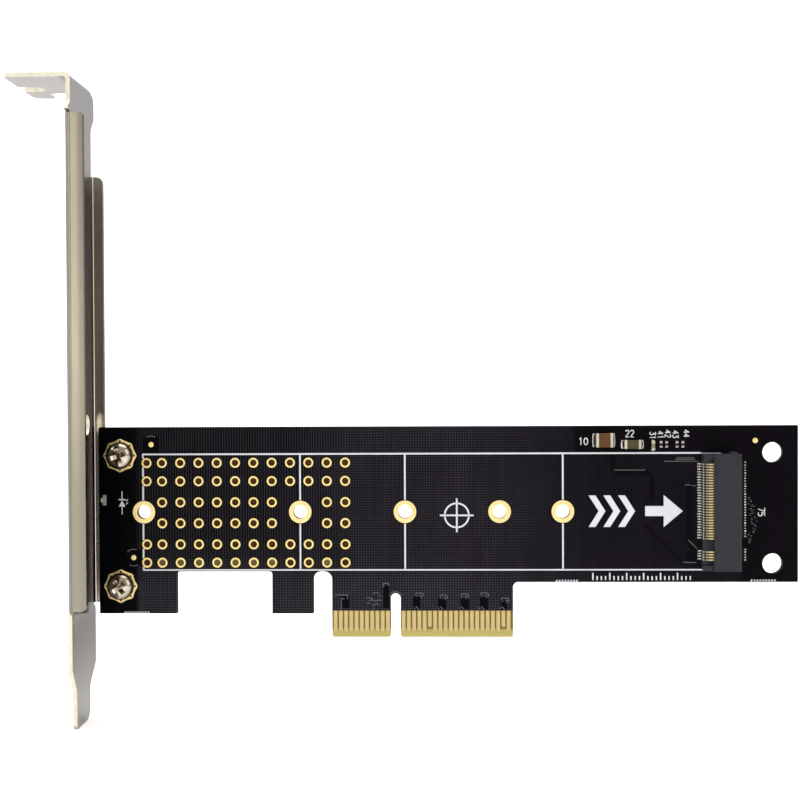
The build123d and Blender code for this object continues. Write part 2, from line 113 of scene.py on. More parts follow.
# Screws and their lands
SCREW_X = -52.72
SCREW_HEIGHTS = [34.84, 9.8]
SCREW_TURNS = [18, 38]
SCREW_LAND = 5.9
SCREW_LAND_LOBES = 8
SCREW_LOBE_PLACE = 2.65
SCREW_LOBE = 0.55
HEAD_RADIUS = 2.6
HEAD_HEIGHT = 2.0
HEAD_SHOULDER = 0.35
THREAD_RADIUS = 1.5
THREAD_PITCH = 0.5
THREAD_DEPTH = 0.16
RECESS_SPAN = 3.3
RECESS_WING = 0.85
RECESS_DEPTH = 1.2

# Alignment dots
FIDUCIALS = [(-46.7, 36.95), (-50.2, 15.3), (68.15, 37.4)]
FIDUCIAL = 1.0

# Printed frame of the drive
LINE = 0.32
INK_GAP = 0.12
PRINT_LEFT = -48.28
PRINT_HALF = 11.07

# Camera, fitted to the photograph
FOCAL_PIXELS = 1492.4
FRAME_PIXELS = 800
SENSOR = 36.0
CAMERA_PLACE = (9.07, -284.64, 50.10)
CAMERA_TURNS = (-0.976, 1.628, -0.246)


# Shader building


class Shader:
    """A Principled material and short ways to wire nodes into it. Places are in millimetres."""

    def __init__(self, name, **inputs):
        self.material = bpy.data.materials.new(name)
        self.material.use_nodes = True
        self.tree = self.material.node_tree
        self.principled = next(n for n in self.tree.nodes if n.type == "BSDF_PRINCIPLED")
        for socket, value in inputs.items():
            if isinstance(value, tuple):
                value = (*value, 1.0)
            self.principled.inputs[socket.replace("_", " ")].default_value = value
        place = self.add("ShaderNodeVectorMath", operation="SCALE")
        place.inputs["Scale"].default_value = 1 / MM
        self.link(self.add("ShaderNodeTexCoord").outputs["Object"], place.inputs[0])
        self.place = place.outputs[0]
        parts = self.add("ShaderNodeSeparateXYZ")
        self.link(self.place, parts.inputs[0])
        self.x, self.y, self.z = parts.outputs

    def add(self, kind, **settings):
        node = self.tree.nodes.new(kind)
        for key, value in settings.items():
            setattr(node, key, value)
        return node

    def link(self, source, target):
        self.tree.links.new(source, target)

    def feed(self, socket, value):
        """Put a number, colour or output into a socket."""
        if isinstance(value, bpy.types.NodeSocket):
            self.link(value, socket)
        else:
            socket.default_value = (*value, 1.0) if isinstance(value, tuple) else value

    def math(self, operation, first, second=0.0, third=0.0, clamp=False):
        node = self.add("ShaderNodeMath", operation=operation, use_clamp=clamp)
        for socket, value in zip(node.inputs, (first, second, third)):
            self.feed(socket, value)
        return node.outputs[0]

    def ramp(self, value, start, stop, low=0.0, high=1.0):
        """Smooth step between two places."""
        node = self.add("ShaderNodeMapRange", interpolation_type="SMOOTHSTEP")
        for socket, number in zip(node.inputs, (value, start, stop, low, high)):
            self.feed(socket, number)
        return node.outputs[0]

    def inside(self, x_low, x_high, z_low, z_high, soft=0.08):
        """1 within a rectangle of the board's face and 0 outside."""
        sides = [
            self.ramp(self.x, x_low - soft, x_low + soft),
            self.ramp(self.x, x_high - soft, x_high + soft, 1.0, 0.0),
            self.ramp(self.z, z_low - soft, z_low + soft),
            self.ramp(self.z, z_high - soft, z_high + soft, 1.0, 0.0),
        ]
        product = sides[0]
        for side in sides[1:]:
            product = self.math("MULTIPLY", product, side)
        return product

    def stripes(self, axis, pitch, width, soft=0.05):
        """Repeating lines across an axis."""
        wave = self.math("PINGPONG", axis, pitch / 2)
        return self.ramp(wave, width / 2 - soft, width / 2 + soft, 1.0, 0.0)

    def noise(self, scale, detail=3.0, roughness=0.5, stretch=None):
        """Noise whose scale is in cycles per millimetre."""
        node = self.add("ShaderNodeTexNoise")
        node.inputs["Scale"].default_value = scale
        node.inputs["Detail"].default_value = detail
        node.inputs["Roughness"].default_value = roughness
        source = self.place
        if stretch:
            scaled = self.add("ShaderNodeVectorMath", operation="MULTIPLY")
            scaled.inputs[1].default_value = stretch
            self.link(source, scaled.inputs[0])
            source = scaled.outputs[0]
        self.link(source, node.inputs["Vector"])
        return node.outputs["Fac"]

    def mix(self, factor, first, second):
        """Colour between two colours."""
        node = self.add("ShaderNodeMix", data_type="RGBA")
        factor_socket, first_socket, second_socket = node.inputs[0], node.inputs[6], node.inputs[7]
        self.feed(factor_socket, factor)
        self.feed(first_socket, first)
        self.feed(second_socket, second)
        return node.outputs[2]

    def colour(self, value):
        self.feed(self.principled.inputs["Base Color"], value)

    def roughness(self, value):
        self.feed(self.principled.inputs["Roughness"], value)

    def metallic(self, value):
        self.feed(self.principled.inputs["Metallic"], value)

    def bump(self, height, depth, strength=1.0):
        """Relief; height runs from 0 to 1 and depth is millimetres."""
        node = self.add("ShaderNodeBump")
        node.inputs["Distance"].default_value = depth * MM
        node.inputs["Strength"].default_value = strength
        self.link(height, node.inputs["Height"])
        self.link(node.outputs[0], self.principled.inputs["Normal"])


def sum_of(shader, terms):
    """Sum of outputs, clamped to 1."""
    total = terms[0]
    for term in terms[1:]:
        total = shader.math("ADD", total, term, clamp=True)
    return total


# Materials


def board_finish():
    """Black solder mask over hatched copper, with the bare laminate of the contact edge and cut edges."""
    s = Shader("solder_mask", Specular_IOR_Level=0.035)
    upright = s.stripes(s.x, 0.5, 0.2)
    level = s.stripes(s.z, 0.5, 0.2)
    right_zone = s.ramp(s.x, -20.0, -6.0)
    low_zone = s.ramp(s.z, 20.0, 12.0)
    grid_zone = s.math("MAXIMUM", right_zone, low_zone)
    grid_zone = s.math("MULTIPLY", grid_zone, s.ramp(s.x, 28.0, 40.0, 1.0, 0.7))
    lines = s.math("MAXIMUM", upright, s.math("MULTIPLY", level, grid_zone))
    patchy = s.math("MULTIPLY_ADD", s.noise(0.35, 4.0, 0.6, (1.0, 1.0, 0.2)), 0.9, 0.5)
    depth = s.math("MULTIPLY", s.ramp(s.x, 12.0, 42.0, 0.60, 0.20), patchy)
    depth = s.math("MULTIPLY", depth, s.ramp(s.z, 8.0, 16.0, 1.7, 1.0))
    dark_places = [
        s.inside(-57.0, -49.4, 4.0, 41.0, 0.5),
        s.inside(65.3, 77.0, 10.0, 41.0, 1.2),
        s.inside(34.0, 77.0, 35.2, 41.0, 0.5),
    ]
    for x, z in FIDUCIALS:
        dark_places.append(s.inside(x - 1.5, x + 1.5, z - 1.5, z + 1.5, 0.15))
    for x_low, x_high, z_low, z_high in CHANNELS:
        dark_places.append(s.inside(x_low, x_high, z_low, z_high))
    diagonal = s.math("ADD", s.x, s.z)
    for total, x_low, x_high in SLANTED_CHANNELS:
        across = s.math("ABSOLUTE", s.math("SUBTRACT", diagonal, total))
        band = s.ramp(across, 0.4, 0.6, 1.0, 0.0)
        dark_places.append(s.math("MULTIPLY", band, s.inside(x_low, x_high, 12.0, 34.0)))
    plain = sum_of(s, dark_places)
    hatch = s.math("MULTIPLY", s.math("MULTIPLY", lines, depth), s.math("SUBTRACT", 1.0, plain))
    clouds = s.noise(0.05, 2.0)
    tone = s.math("MULTIPLY_ADD", clouds, 0.3, s.ramp(s.x, -55.0, 60.0, 0.0, 0.7))
    mask_dark = s.mix(tone, (0.0003, 0.0003, 0.0006), (0.0030, 0.0018, 0.0040))
    mask_line = s.mix(clouds, (0.020, 0.018, 0.024), (0.046, 0.043, 0.053))
    mask = s.mix(hatch, mask_dark, mask_line)
    laminate_zone = s.inside(EDGE_LEFT - 0.5, EDGE_RIGHT + 0.5, -1.0, CONTACT_TOP + 0.03, 0.02)
    bevel_zone = s.ramp(s.z, BEVEL_TOP - 0.05, BEVEL_TOP + 0.9, 1.0, 0.0)
    weave = s.noise(3.0, 4.0, 0.6, (1.0, 1.0, 0.4))
    bare = s.mix(weave, (0.16, 0.10, 0.018), (0.23, 0.155, 0.030))
    bevelled = s.mix(weave, (0.40, 0.335, 0.112), (0.50, 0.425, 0.155))
    laminate = s.mix(bevel_zone, bare, bevelled)
    face = s.mix(laminate_zone, mask, laminate)
    normal = s.add("ShaderNodeSeparateXYZ")
    s.link(s.add("ShaderNodeNewGeometry").outputs["True Normal"], normal.inputs[0])
    flatness = s.math("ABSOLUTE", normal.outputs[1])
    side = s.ramp(flatness, 0.3, 0.6, 1.0, 0.0)
    fibres = s.noise(2.2, 5.0, 0.7, (0.3, 3.0, 0.3))
    core = s.mix(fibres, (0.007, 0.006, 0.005), (0.03, 0.026, 0.018))
    s.colour(s.mix(side, face, core))
    sheen = s.math("MULTIPLY_ADD", s.noise(0.3, 3.0), 0.14, 0.33)
    rough = s.math("MULTIPLY_ADD", s.math("MAXIMUM", laminate_zone, side), 0.25, sheen)
    s.roughness(rough)
    grain = s.math("MULTIPLY", s.noise(4.0, 3.0), 0.15)
    s.bump(s.math("ADD", s.math("MULTIPLY", hatch, 0.85), grain), 0.02, 0.6)
    return s.material


def plated_finish(name, pale, deep, rough):
    """Gold plating with fine grain and slight changes of tone."""
    s = Shader(name, Metallic=1.0)
    s.colour(s.mix(s.noise(0.8, 3.0), deep, pale))
    s.roughness(s.math("MULTIPLY_ADD", s.noise(2.5, 4.0), 0.16, rough - 0.08))
    s.bump(s.noise(9.0, 4.0, 0.65), 0.012, 0.5)
    return s.material


def plug_finish(name, dark, light):
    """Dark filling of a plugged via."""
    s = Shader(name, Roughness=0.6, Specular_IOR_Level=0.15)
    s.colour(s.mix(s.noise(1.7, 3.0), dark, light))
    s.bump(s.noise(6.0, 4.0), 0.03, 0.6)
    return s.material


def ink_finish():
    """White screen-printed ink."""
    s = Shader("white_ink", Roughness=0.6, Specular_IOR_Level=0.3)
    s.colour(s.mix(s.noise(1.5, 4.0, 0.6), (0.56, 0.58, 0.62), (0.71, 0.73, 0.77)))
    s.bump(s.noise(8.0, 4.0), 0.015, 0.5)
    return s.material


def moulded_finish(name, deep, pale, rough, sheen=0.45):
    """Matt moulded plastic with a fine texture."""
    s = Shader(name, Specular_IOR_Level=sheen)
    s.colour(s.mix(s.noise(0.35, 3.0), deep, pale))
    s.roughness(s.math("MULTIPLY_ADD", s.noise(3.0, 4.0), 0.14, rough - 0.07))
    s.bump(s.noise(11.0, 4.0, 0.7), 0.012, 0.55)
    return s.material


def spring_finish():
    """Socket springs: gold-plated inside the socket, with painted shade dimming the gold at the roots of the lower
    contacts and darkening the tinned tails beside the housing.
    """
    s = Shader("socket_spring", Metallic=1.0)
    inside = s.math(
        "MULTIPLY",
        s.ramp(s.x, socket_low.x - 0.05, socket_low.x + 0.25),
        s.ramp(s.x, socket_high.x - 0.2, socket_high.x + 0.05, 1.0, 0.0),
    )
    gold = s.mix(s.noise(1.3, 3.0), (0.72, 0.58, 0.26), (0.95, 0.80, 0.44))
    bright = s.mix(s.noise(1.9, 3.0), (0.72, 0.71, 0.68), (0.97, 0.97, 0.95))
    # Painted shade: the tails are dark for about a millimetre beside the housing, with random dark patches further out.
    shaded = s.ramp(s.x, socket_high.x + 1.2, socket_high.x + 1.3, 1.0, 0.0)
    rear = s.ramp(s.x, socket_high.x - 0.2, socket_high.x)
    uneven = s.ramp(s.noise(0.9, 3.0, 0.6), 0.45, 0.6, 0.8, 0.0)
    tin = s.mix(s.math("MULTIPLY", s.math("MAXIMUM", shaded, uneven), rear), bright, (0.02, 0.02, 0.02))
    # Painted shade: the gold dims towards the root of each lower contact, where it goes down to the board.
    root = s.ramp(s.x, socket_low.x + 0.9, socket_low.x + 1.3, 1.0, 0.0)
    tone_with_painted_light = s.mix(root, gold, (0.42, 0.36, 0.22))
    s.colour(s.mix(inside, tin, tone_with_painted_light))
    s.roughness(s.math("MULTIPLY_ADD", s.noise(3.0, 3.0), 0.2, 0.3))
    s.bump(s.noise(7.0, 3.0), 0.02, 0.4)
    return s.material


def trace_finish():
    """Mask over a raised trace, its colour painted paler in patches as a painted highlight."""
    s = Shader("mask_over_trace", Specular_IOR_Level=0.6)
    s.colour(s.mix(s.noise(0.9, 4.0, 0.6), (0.012, 0.012, 0.014), (0.16, 0.16, 0.175)))
    s.roughness(s.math("MULTIPLY_ADD", s.noise(2.0, 3.0), 0.2, 0.25))
    s.bump(s.noise(6.0, 3.0), 0.01, 0.5)
    return s.material


def tin_finish(name, rough, deep=(0.74, 0.73, 0.68), pale=(0.97, 0.96, 0.92)):
    """Tinned or soldered metal."""
    s = Shader(name, Metallic=1.0)
    s.colour(s.mix(s.noise(1.1, 3.0), deep, pale))
    s.roughness(s.math("MULTIPLY_ADD", s.noise(2.3, 4.0), 0.22, rough - 0.1))
    s.bump(s.noise(4.0, 4.0), 0.03, 0.5)
    return s.material


def ceramic_finish(name, deep, pale):
    """Fired ceramic of a chip capacitor."""
    s = Shader(name, Specular_IOR_Level=0.2)
    s.colour(s.mix(s.noise(1.2, 5.0, 0.65), deep, pale))
    s.roughness(s.math("MULTIPLY_ADD", s.noise(2.0, 3.0), 0.18, 0.42))
    s.bump(s.noise(7.0, 5.0, 0.7), 0.02, 0.6)
    return s.material


def bracket_finish():
    """Nickel-plated sheet steel with a slightly crowned lip and painted light and shade on its faces; the sheared edges
    are paler and rougher.
    """
    s = Shader("bracket_steel", Metallic=1.0, Specular_Tint=(0.47, 0.47, 0.48))
    normal = s.add("ShaderNodeSeparateXYZ")
    s.link(s.add("ShaderNodeNewGeometry").outputs["True Normal"], normal.inputs[0])
    lip_end_shadow = s.math(
        "MULTIPLY",
        s.ramp(s.x, bracket_lip_end - 0.08, bracket_lip_end - 0.02),
        s.ramp(s.y, bracket_low.y + 1.0, bracket_low.y + 1.2, 1.0, 0.0),
    )
    off_sheet = s.ramp(s.math("ABSOLUTE", normal.outputs[0]), 0.4, 0.6, 1.0, 0.0)
    off_flange = s.ramp(s.math("ABSOLUTE", normal.outputs[2]), 0.4, 0.6, 1.0, 0.0)
    in_plate = s.ramp(s.x, bracket_plate_inner - 0.03, bracket_plate_inner + 0.02, 1.0, 0.0)
    past_lips = s.math(
        "MAXIMUM",
        s.math("MAXIMUM", s.ramp(s.z, 6.9, 7.1, 1.0, 0.0), s.ramp(s.z, 98.3, 98.5)),
        s.ramp(s.y, bracket_low.y + 2.2, bracket_low.y + 2.5),
    )
    below_flange = s.ramp(s.z, bracket_high.z - 2.4, bracket_high.z - 2.2, 1.0, 0.0)
    plate_edge = s.math("MULTIPLY", off_sheet, s.math("MULTIPLY", in_plate, past_lips))
    plate_edge = s.math("MULTIPLY", plate_edge, below_flange)
    flange_zone = s.math(
        "MULTIPLY",
        s.ramp(s.z, bracket_high.z - 1.0, bracket_high.z - 0.9),
        s.ramp(s.x, bracket_plate_inner - 2.4, bracket_plate_inner - 2.2, 1.0, 0.0),
    )
    edge = s.math("MAXIMUM", plate_edge, s.math("MULTIPLY", off_flange, flange_zone))
    facing_front = s.ramp(s.math("ABSOLUTE", normal.outputs[1]), 0.8, 0.9)
    bend_zone = s.math(
        "MULTIPLY",
        s.ramp(s.z, bracket_high.z - 2.8, bracket_high.z - 2.6),
        s.ramp(s.x, bracket_plate_inner + 0.1, bracket_plate_inner + 0.2, 1.0, 0.0),
    )
    edge = s.math("MAXIMUM", edge, s.math("MULTIPLY", facing_front, bend_zone))
    clouds = s.noise(0.05, 4.0, 0.6)
    streaks = s.noise(1.6, 4.0, 0.6, (1.0, 1.0, 0.04))
    tone = s.math("MULTIPLY_ADD", streaks, 0.35, s.math("MULTIPLY", clouds, 0.65))
    # The lips, plate, flange and far lip take separate tones of the same nickel: lit and shaded copies, each set to how
    # bright its face looks.
    lips = s.mix(tone, (0.300, 0.278, 0.226), (0.455, 0.428, 0.348))
    # Painted reflection: the lip's right third is painted darker and greyer; the lip is also darker towards the bottom.
    lips = s.mix(s.ramp(s.x, -56.9, -56.2, 0.0, 0.45), lips, (0.225, 0.213, 0.185))
    lips = s.mix(s.ramp(s.z, 20.0, 60.0, 0.6, 0.0), lips, (0.20, 0.183, 0.144))
    # Painted shade: the lip is painted darker along its bend into the plate.
    near = s.ramp(s.y, bracket_low.y + 1.6, bracket_low.y + 1.8, 1.0, 0.0)
    bend = s.math("MULTIPLY", near, s.ramp(s.x, bracket_plate_inner - 0.25, bracket_plate_inner + 0.2, 1.0, 0.0))
    lips = s.mix(s.math("MULTIPLY", bend, 0.8), lips, (0.17, 0.17, 0.115))
    flat = s.mix(tone, (0.265, 0.258, 0.250), (0.350, 0.342, 0.335))
    # Painted shading: the tongue below the lips is dark at its top and painted lighter towards its foot.
    tongue = s.mix(s.ramp(s.z, 4.0, -15.0), (0.185, 0.176, 0.165), (0.460, 0.446, 0.430))
    flat = s.mix(s.ramp(s.z, 7.0, 4.0), flat, tongue)
    # Painted reflection: the plate's inner face between the lips is painted dark brown, standing in for a reflection of
    # dark surroundings.
    between = s.math("MULTIPLY", s.ramp(s.z, 84.0, 90.0, 0.88, 0.0), s.ramp(s.z, 5.5, 8.0))
    between = s.math("MULTIPLY", between, s.ramp(normal.outputs[0], 0.3, 0.6))
    flat = s.mix(between, flat, (0.035, 0.023, 0.012))
    shelf = s.mix(tone, (0.52, 0.50, 0.47), (0.66, 0.64, 0.61))
    # Painted highlight: the far lip is painted near white, brighter than the rest of the steel, and darker towards the
    # bottom as painted shade.
    far = s.mix(tone, (1.0, 0.88, 0.76), (1.0, 0.96, 0.86))
    far = s.mix(s.ramp(s.z, 30.0, 80.0, 0.3, 0.0), far, (0.50, 0.42, 0.36))
    on_flat = s.math("SUBTRACT", 1.0, off_sheet)
    on_far = s.ramp(s.y, bracket_far_lip - 0.25, bracket_far_lip - 0.1)
    sheet = s.mix(on_flat, s.mix(on_far, lips, far), flat)
    sheet = s.mix(flange_zone, sheet, shelf)
    raw = s.mix(s.noise(2.2, 4.0, 0.7, (1.0, 1.0, 0.5)), (0.52, 0.49, 0.36), (1.0, 0.98, 0.86))
    # Painted shadow: the lip's cut end is painted dark where it meets the plate.
    sheet = s.mix(lip_end_shadow, sheet, (0.07, 0.06, 0.045))
    s.colour(s.mix(edge, sheet, raw))
    rough = s.math("MULTIPLY_ADD", s.noise(0.4, 4.0, 0.6, (1.0, 1.0, 0.25)), 0.1, 0.15)
    s.roughness(s.math("MULTIPLY_ADD", s.math("MAXIMUM", edge, bend), 0.35, rough))
    across = s.math("SUBTRACT", s.x, bracket_lip_middle)
    crown = s.math("MULTIPLY", s.math("MULTIPLY", across, across), -0.013)
    on_lip = s.ramp(s.y, bracket_low.y + 0.5, bracket_low.y + 0.7, 1.0, 0.0)
    grain = s.math("MULTIPLY", s.noise(5.0, 3.0, 0.6, (1.0, 1.0, 0.05)), 0.0008)
    dents = s.math("MULTIPLY", s.noise(0.2, 3.0), 0.004)
    nicks = s.math("MULTIPLY", s.math("MULTIPLY", s.noise(3.0, 4.0, 0.7), edge), 0.12)
    relief = s.math("ADD", s.math("MULTIPLY", crown, on_lip), s.math("ADD", grain, s.math("ADD", dents, nicks)))
    s.bump(relief, 1.0, 1.0)
    return s.material


def screw_finish():
    """Nickel-plated screw whose colour carries painted reflections, a painted dark rim and painted shade in the cross
    recess.
    """
    s = Shader("screw_steel", Metallic=1.0)
    middle = sum(SCREW_HEIGHTS) / 2
    half = SCREW_HEIGHTS[0] - middle
    up = s.math("SUBTRACT", s.math("ABSOLUTE", s.math("SUBTRACT", s.z, middle)), half)
    along = s.math("SUBTRACT", s.x, SCREW_X)
    radius = s.math("SQRT", s.math("ADD", s.math("MULTIPLY", up, up), s.math("MULTIPLY", along, along)))
    # Painted reflections: mottled dark-brown and pale patches in the plating's colour.
    tone_with_painted_light = s.mix(s.noise(0.9, 4.0, 0.6), (0.20, 0.16, 0.11), (0.86, 0.79, 0.68))
    level = FRONT - COPPER - HEAD_HEIGHT
    recess = s.math("MULTIPLY", s.ramp(s.y, level + 0.5, level + 0.8), s.ramp(radius, 1.7, 1.8, 1.0, 0.0))
    # Painted shade: darker towards the head's rim and in the cross recess.
    dark = s.math("MAXIMUM", s.ramp(radius, 1.7, 2.35), s.math("MULTIPLY", recess, 0.75))
    s.colour(s.mix(dark, tone_with_painted_light, (0.16, 0.13, 0.09)))
    s.roughness(s.math("MULTIPLY_ADD", s.noise(1.4, 4.0), 0.12, 0.05))
    s.bump(s.noise(0.8, 3.0, 0.5), 0.07, 0.7)
    return s.material


def lens_finish():
    """Clear resin of the small side-view light."""
    s = Shader("lamp_lens", Roughness=0.2, IOR=1.5, Transmission_Weight=0.5)
    s.colour(s.mix(s.noise(1.5, 2.0), (0.80, 0.82, 0.70), (0.92, 0.94, 0.86)))
    s.bump(s.noise(5.0, 2.0), 0.02, 0.4)
    return s.material


def stage_finish():
    """Pale floor that stays bright far from the card, where the lamps don't reach."""
    s = Shader("pale_floor", Roughness=0.9, Specular_IOR_Level=0.1, Emission_Color=(1.0, 1.0, 1.0))
    far = s.math("SQRT", s.math("ADD", s.math("MULTIPLY", s.x, s.x), s.math("MULTIPLY", s.y, s.y)))
    s.feed(s.principled.inputs["Emission Strength"], s.ramp(far, 700.0, 1700.0, 0.0, 0.6))
    s.colour(s.mix(s.noise(0.01, 2.0), (0.90, 0.90, 0.90), (0.93, 0.93, 0.93)))
    return s.material


# Mask channels without hatching, where signal traces run: x low, x high, z low, z high
CHANNELS = [
    (40.9, 41.9, 31.6, 35.0),
    (41.5, 47.6, 30.9, 31.7),
    (48.2, 49.1, 25.8, 30.3),
    (55.2, 56.4, 17.4, 28.8),
    (55.2, 57.6, 14.6, 16.4),
    (-10.5, -8.9, 5.6, 7.9),
    (-2.4, -1.25, 5.6, 10.0),
    (3.3, 4.65, 5.4, 7.8),
    (8.05, 9.6, 5.4, 7.5),
    (12.4, 14.0, 5.4, 7.5),
    (16.0, 17.6, 5.4, 7.7),
    (20.0, 21.2, 5.4, 7.3),
]


# The same for channels that run down to the right: x plus z on the middle line, x low, x high
SLANTED_CHANNELS = [
    (79.2, 47.3, 49.1),
    (68.8, 47.2, 54.5),
    (73.3, 55.2, 57.6),
]


# Mesh building


def outline_normals(points):
    """Unit inward mitre of each corner of a counter-clockwise outline."""
    result = []
    count = len(points)
    for i, (x, z) in enumerate(points):
        before = Vector(points[i - 1])
        after = Vector(points[(i + 1) % count])
        here = Vector((x, z))
        first = (here - before).normalized()
        second = (after - here).normalized()
        inward = Vector((-first.y - second.y, first.x + second.x))
        if inward.length < 1e-6:
            inward = Vector((-first.y, first.x))
        inward.normalize()
        reach = max(0.3, inward.dot(Vector((-first.y, first.x))))
        result.append(inward / reach)
    return result


def raised(bm, points, base, height, side=-1, soft=0.3):
    """Low solid on a face of the board: walls, a rounded rim and a flat top. soft is the rim's share."""
    area = sum(
        points[i - 1][0] * points[i][1] - points[i][0] * points[i - 1][1] for i in range(len(points))
    )
    if area < 0:
        points = list(reversed(points))
    rim = height * soft
    inward = outline_normals(points)
    rings = []
    for lift, inset in ((0.0, 0.0), (height - rim, 0.0), (height - rim * 0.3, rim * 0.35), (height, rim)):
        ring = []
        for (x, z), way in zip(points, inward):
            ring.append(bm.verts.new((x + way.x * inset, base + side * lift, z + way.y * inset)))
        rings.append(ring)
    count = len(points)
    for lower, upper in zip(rings, rings[1:]):
        for i in range(count):
            j = (i + 1) % count
            bm.faces.new((lower[i], lower[j], upper[j], upper[i]))
    bm.faces.new(rings[-1])
    bm.faces.new(list(reversed(rings[0])))


def lathe(bm, profile, centre, base, side=-1, segments=48, closed=True):
    """Turn a profile of (radius, height off the face) about an axis across the board."""
    x, z = centre
    rings = []
    for radius, height in profile:
        y = base + side * height
        if radius < 1e-6:
            rings.append([bm.verts.new((x, y, z))])
            continue
        ring = []
        for i in range(segments):
            angle = 2 * math.pi * i / segments
            ring.append(bm.verts.new((x + radius * math.cos(angle), y, z + radius * math.sin(angle))))
        rings.append(ring)
    pairs = list(zip(rings, rings[1:]))
    if closed:
        pairs.append((rings[-1], rings[0]))
    for lower, upper in pairs:
        for i in range(segments):
            j = (i + 1) % segments
            corners = [lower[i % len(lower)], lower[j % len(lower)], upper[j % len(upper)], upper[i % len(upper)]]
            unique = list(dict.fromkeys(corners))
            if len(unique) > 2:
                bm.faces.new(unique)


def circle(x, z, radius, segments=24):
    """Outline of a disc."""
    return [
        (x + radius * math.cos(2 * math.pi * i / segments), z + radius * math.sin(2 * math.pi * i / segments))
        for i in range(segments)
    ]


def bar(x_low, x_high, z_low, z_high, corner=0.0, steps=4):
    """Outline of a rectangle with rounded corners."""
    if corner <= 0:
        return [(x_low, z_low), (x_high, z_low), (x_high, z_high), (x_low, z_high)]
    points = []
    centres = [
        (x_high - corner, z_low + corner, -90),
        (x_high - corner, z_high - corner, 0),
        (x_low + corner, z_high - corner, 90),
        (x_low + corner, z_low + corner, 180),
    ]
    for x, z, start in centres:
        for i in range(steps + 1):
            angle = math.radians(start + 90 * i / steps)
            points.append((x + corner * math.cos(angle), z + corner * math.sin(angle)))
    return points


def arc_band(x, z, radius, width, start, stop, steps=8):
    """Outline of a stretch of a ring, in degrees."""
    angles = [math.radians(start + (stop - start) * i / steps) for i in range(steps + 1)]
    outer = [(x + (radius + width / 2) * math.cos(a), z + (radius + width / 2) * math.sin(a)) for a in angles]
    inner = [(x + (radius - width / 2) * math.cos(a), z + (radius - width / 2) * math.sin(a)) for a in angles]
    return outer + inner[::-1]


def settle_normals(mesh, limit):
    """Shade each corner by the faces that meet there smoothly, the largest faces counting most."""
    around = [[] for _ in mesh.vertices]
    for polygon in mesh.polygons:
        for vertex in polygon.vertices:
            around[vertex].append(polygon.index)
    normals = [polygon.normal.copy() for polygon in mesh.polygons]
    weights = [(polygon.area / MM ** 2) ** 2 + 1e-9 for polygon in mesh.polygons]
    least = math.cos(math.radians(limit))
    corners = []
    for polygon in mesh.polygons:
        own = normals[polygon.index]
        for vertex in polygon.vertices:
            total = Vector((0.0, 0.0, 0.0))
            for other in around[vertex]:
                if own.dot(normals[other]) > least:
                    total += normals[other] * weights[other]
            corners.append(total.normalized())
    mesh.normals_split_custom_set(corners)


def finished(name, bm, materials, nodes=(), smooth=40):
    """Turn a mesh in millimetres into a piece that rides on the card."""
    bmesh.ops.recalc_face_normals(bm, faces=bm.faces)
    bmesh.ops.scale(bm, vec=(MM, MM, MM), verts=bm.verts)
    mesh = bpy.data.meshes.new(name)
    bm.to_mesh(mesh)
    bm.free()
    for polygon in mesh.polygons:
        polygon.use_smooth = True
    settle_normals(mesh, smooth)
    piece = bpy.data.objects.new(name, mesh)
    bpy.context.scene.collection.objects.link(piece)
    for material in materials:
        mesh.materials.append(material)
    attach(piece, BODY)
    if nodes:
        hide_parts(*nodes)
    return piece


def welded(node):
    """Mesh of a CAD node in millimetres, with its seams closed and its flat faces whole."""
    bm = bmesh.new()
    bm.from_mesh(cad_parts[node].data)
    bmesh.ops.scale(bm, vec=(1 / MM, 1 / MM, 1 / MM), verts=bm.verts)
    bmesh.ops.remove_doubles(bm, verts=bm.verts, dist=0.0008)
    bmesh.ops.dissolve_limit(bm, angle_limit=math.radians(0.5), verts=bm.verts, edges=bm.edges)
    return bm


def eased(bm, width, angle=32, segments=2):
    """Round the sharp edges of a mesh in millimetres."""
    sharp = [
        edge
        for edge in bm.edges
        if len(edge.link_faces) == 2 and edge.calc_face_angle(0.0) > math.radians(angle)
    ]
    bmesh.ops.bevel(
        bm,
        geom=sharp,
        offset=width,
        offset_type="OFFSET",
        segments=segments,
        profile=0.5,
        affect="EDGES",
        clamp_overlap=True,
    )
    return bm


def cut_out(bm, cutters):
    """Take the closed mesh cutters away from bm; both are in millimetres."""
    bodies = []
    for name, source in (("cut_body", bm), ("cut_tool", cutters)):
        mesh = bpy.data.meshes.new(name)
        bmesh.ops.recalc_face_normals(source, faces=source.faces)
        source.to_mesh(mesh)
        source.free()
        body = bpy.data.objects.new(name, mesh)
        bpy.context.scene.collection.objects.link(body)
        bodies.append(body)
    work, tool = bodies
    modifier = work.modifiers.new("cut", "BOOLEAN")
    modifier.operation = "DIFFERENCE"
    modifier.solver = "EXACT"
    modifier.object = tool
    graph = bpy.context.evaluated_depsgraph_get()
    result = bmesh.new()
    result.from_mesh(work.evaluated_get(graph).to_mesh())
    for body in bodies:
        mesh = body.data
        bpy.data.objects.remove(body)
        bpy.data.meshes.remove(mesh)
    return result


# Board


def via_places():
    """Centres of the thermal vias, row by row from the top."""
    rows = sorted([VIA_LINE + s * below for below in VIA_ROWS_BELOW for s in (1, -1)], reverse=True)
    middle = (VIA_LINE + VIA_ROWS_BELOW[0], VIA_LINE - VIA_ROWS_BELOW[0])
    places = []
    for row, z in enumerate(rows):
        for column, x in enumerate(VIA_COLUMNS):
            if z in middle and column in VIA_BARE_COLUMNS:
                continue
            places.append((x, z, row, column))
    return places


